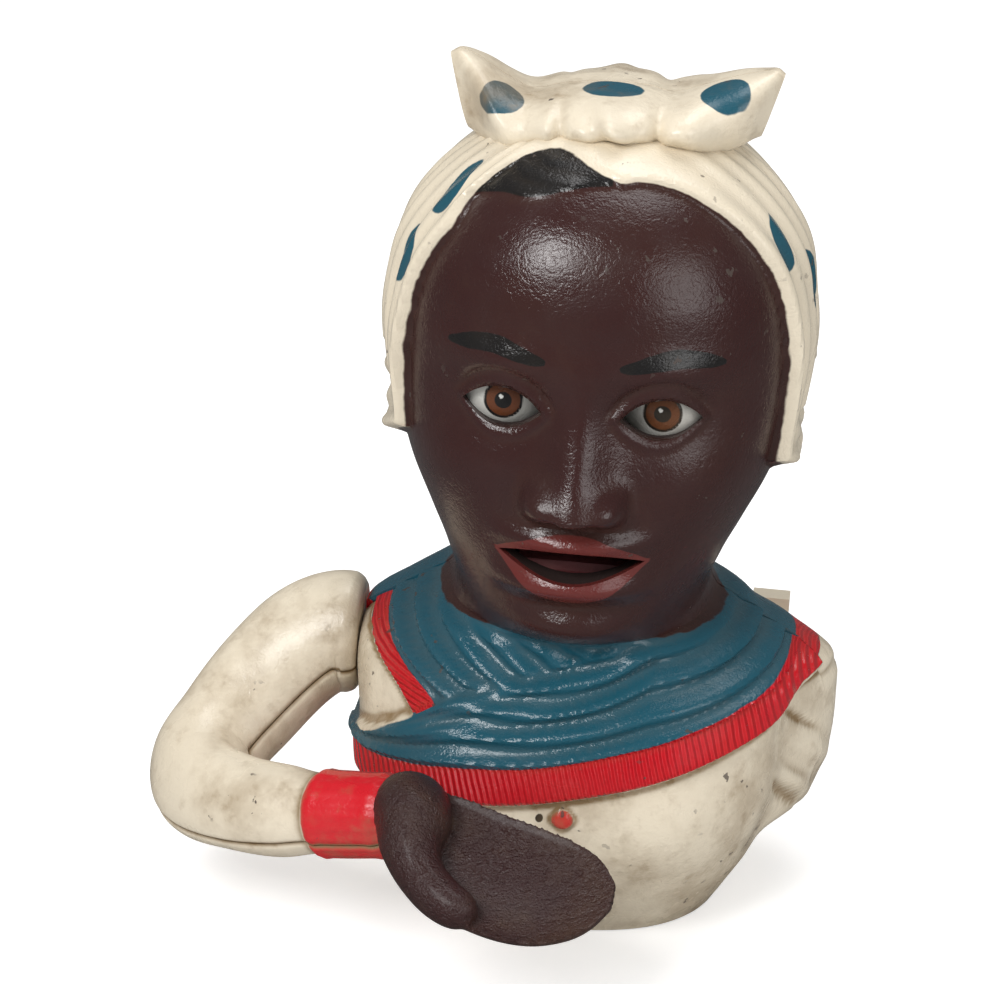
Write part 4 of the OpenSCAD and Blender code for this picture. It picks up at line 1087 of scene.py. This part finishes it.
deselect()
enamel, cloth, sleeve, iron = bust_material(), cloth_material(), sleeve_material(), iron_material()
put(front_casting(), "bust", enamel, "front_casting", slot="cream_paint")
put(back_casting(), "bust", enamel, "back_casting", slot="cream_paint")
put(knot_half("knot_front", -1), "bust", cloth, "front_casting", slot="cream_paint")
put(knot_half("knot_back", 1), "bust", cloth, "back_casting", slot="cream_paint")
put(arm_half("sleeve_upper", 1), "arm", sleeve, "arm_upper_half", slot="cream_paint")
put(arm_half("sleeve_lower", -1), "arm", sleeve, "arm_lower_half", slot="cream_paint")
put(hand(), "arm", skin_material(), "hand", slot="skin_paint")
eye_enamel = eye_material()
put(eyeball("eyeball_left", 1), "eyes", eye_enamel, "eye_left", slot="eye_paint")
put(eyeball("eyeball_right", -1), "eyes", eye_enamel, "eye_right", slot="eye_paint")
dress_nodes(["tongue"], plain_paint("tongue enamel", rgb(0.27, 0.07, 0.075), grime=0.2, chips=0.2))
dress_nodes(["thumb_lever"], plain_paint("lever enamel", CREAM, grime=0.6, chips=0.9))
dress_nodes(["base_plate", "base_screw_left", "base_screw_right", "trap_cover", "trap_rivet",
             "head_screw", "body_screw", "arm_rivets", "arm_shaft", "lever_pin", "drive_rod",
             "tongue_pin", "eye_rod", "eye_crank", "eye_axle"], iron)


# ---- floor, light and camera -----------------------------
def studio():
    deselect()
    bpy.ops.mesh.primitive_plane_add(size=6, location=(0, 0, -0.0002))
    floor = bpy.context.object
    floor.name = "floor"
    material, g, shader = new_material("pale floor")
    shader.inputs["Roughness"].default_value = 0.6
    path = g.node("ShaderNodeLightPath")
    seen = path.outputs["Is Camera Ray"]
    colour = g.blend(path.outputs["Is Glossy Ray"], rgb(0.8, 0.8, 0.8), rgb(0.12, 0.12, 0.12))
    g.feed(shader.inputs["Base Color"], colour)
    shader.inputs["Emission Color"].default_value = rgb(1, 1, 1)
    g.feed(shader.inputs["Emission Strength"], g.math("MULTIPLY", seen, 0.5))
    floor.data.materials.append(material)
    world = bpy.context.scene.world or bpy.data.worlds.new("studio")
    bpy.context.scene.world = world
    world.use_nodes = True
    world.node_tree.nodes.clear()
    g = Graph(world.node_tree)
    path = g.node("ShaderNodeLightPath")
    seen, mirrored = path.outputs["Is Camera Ray"], path.outputs["Is Glossy Ray"]
    light = g.node("ShaderNodeBackground", Color=rgb(1, 1, 1))
    g.feed(light.inputs["Strength"], g.math("SUBTRACT", g.ramp(seen, 0, 1, 0.44, 1.02, smooth=False),
                                           g.math("MULTIPLY", mirrored, 0.34)))
    g.feed(g.node("ShaderNodeOutputWorld").inputs["Surface"], light.outputs[0])
    for name, place, size, power in (("key", (-0.45, -0.75, 0.8), 0.45, 7.6),
                                     ("fill", (0.8, -0.6, 0.45), 0.6, 2.8),
                                     ("top", (0.1, 0.3, 1.0), 0.6, 3.6)):
        deselect()
        bpy.ops.object.light_add(type="AREA", location=place)
        lamp = bpy.context.object
        lamp.name = name
        lamp.data.size, lamp.data.energy = size, power
        aim = Vector((0, 0, 0.08)) - Vector(place)
        lamp.rotation_euler = aim.to_track_quat("-Z", "Y").to_euler()


def camera():
    distance, azimuth, elevation, roll = 0.85, 5.0, 22.0, 3.3
    target = Vector((-0.0188, 0, 0.0761))
    az, el = math.radians(azimuth), math.radians(elevation)
    back = Vector((math.sin(az) * math.cos(el), -math.cos(az) * math.cos(el), math.sin(el)))
    deselect()
    bpy.ops.object.camera_add(location=target + back * distance)
    cam = bpy.context.object
    turn = (-back).to_track_quat("-Z", "Y").to_matrix().to_4x4()
    lean = Matrix.Rotation(math.radians(roll), 4, "Z")
    cam.matrix_world = Matrix.Translation(cam.location) @ turn @ lean
    cam.data.sensor_width = 36
    cam.data.lens = 5.2 * distance * 1000 / 984 * 36
    cam.data.clip_start = 0.01
    bpy.context.scene.camera = cam


studio()
camera()
bpy.context.scene.view_settings.view_transform = "Standard"
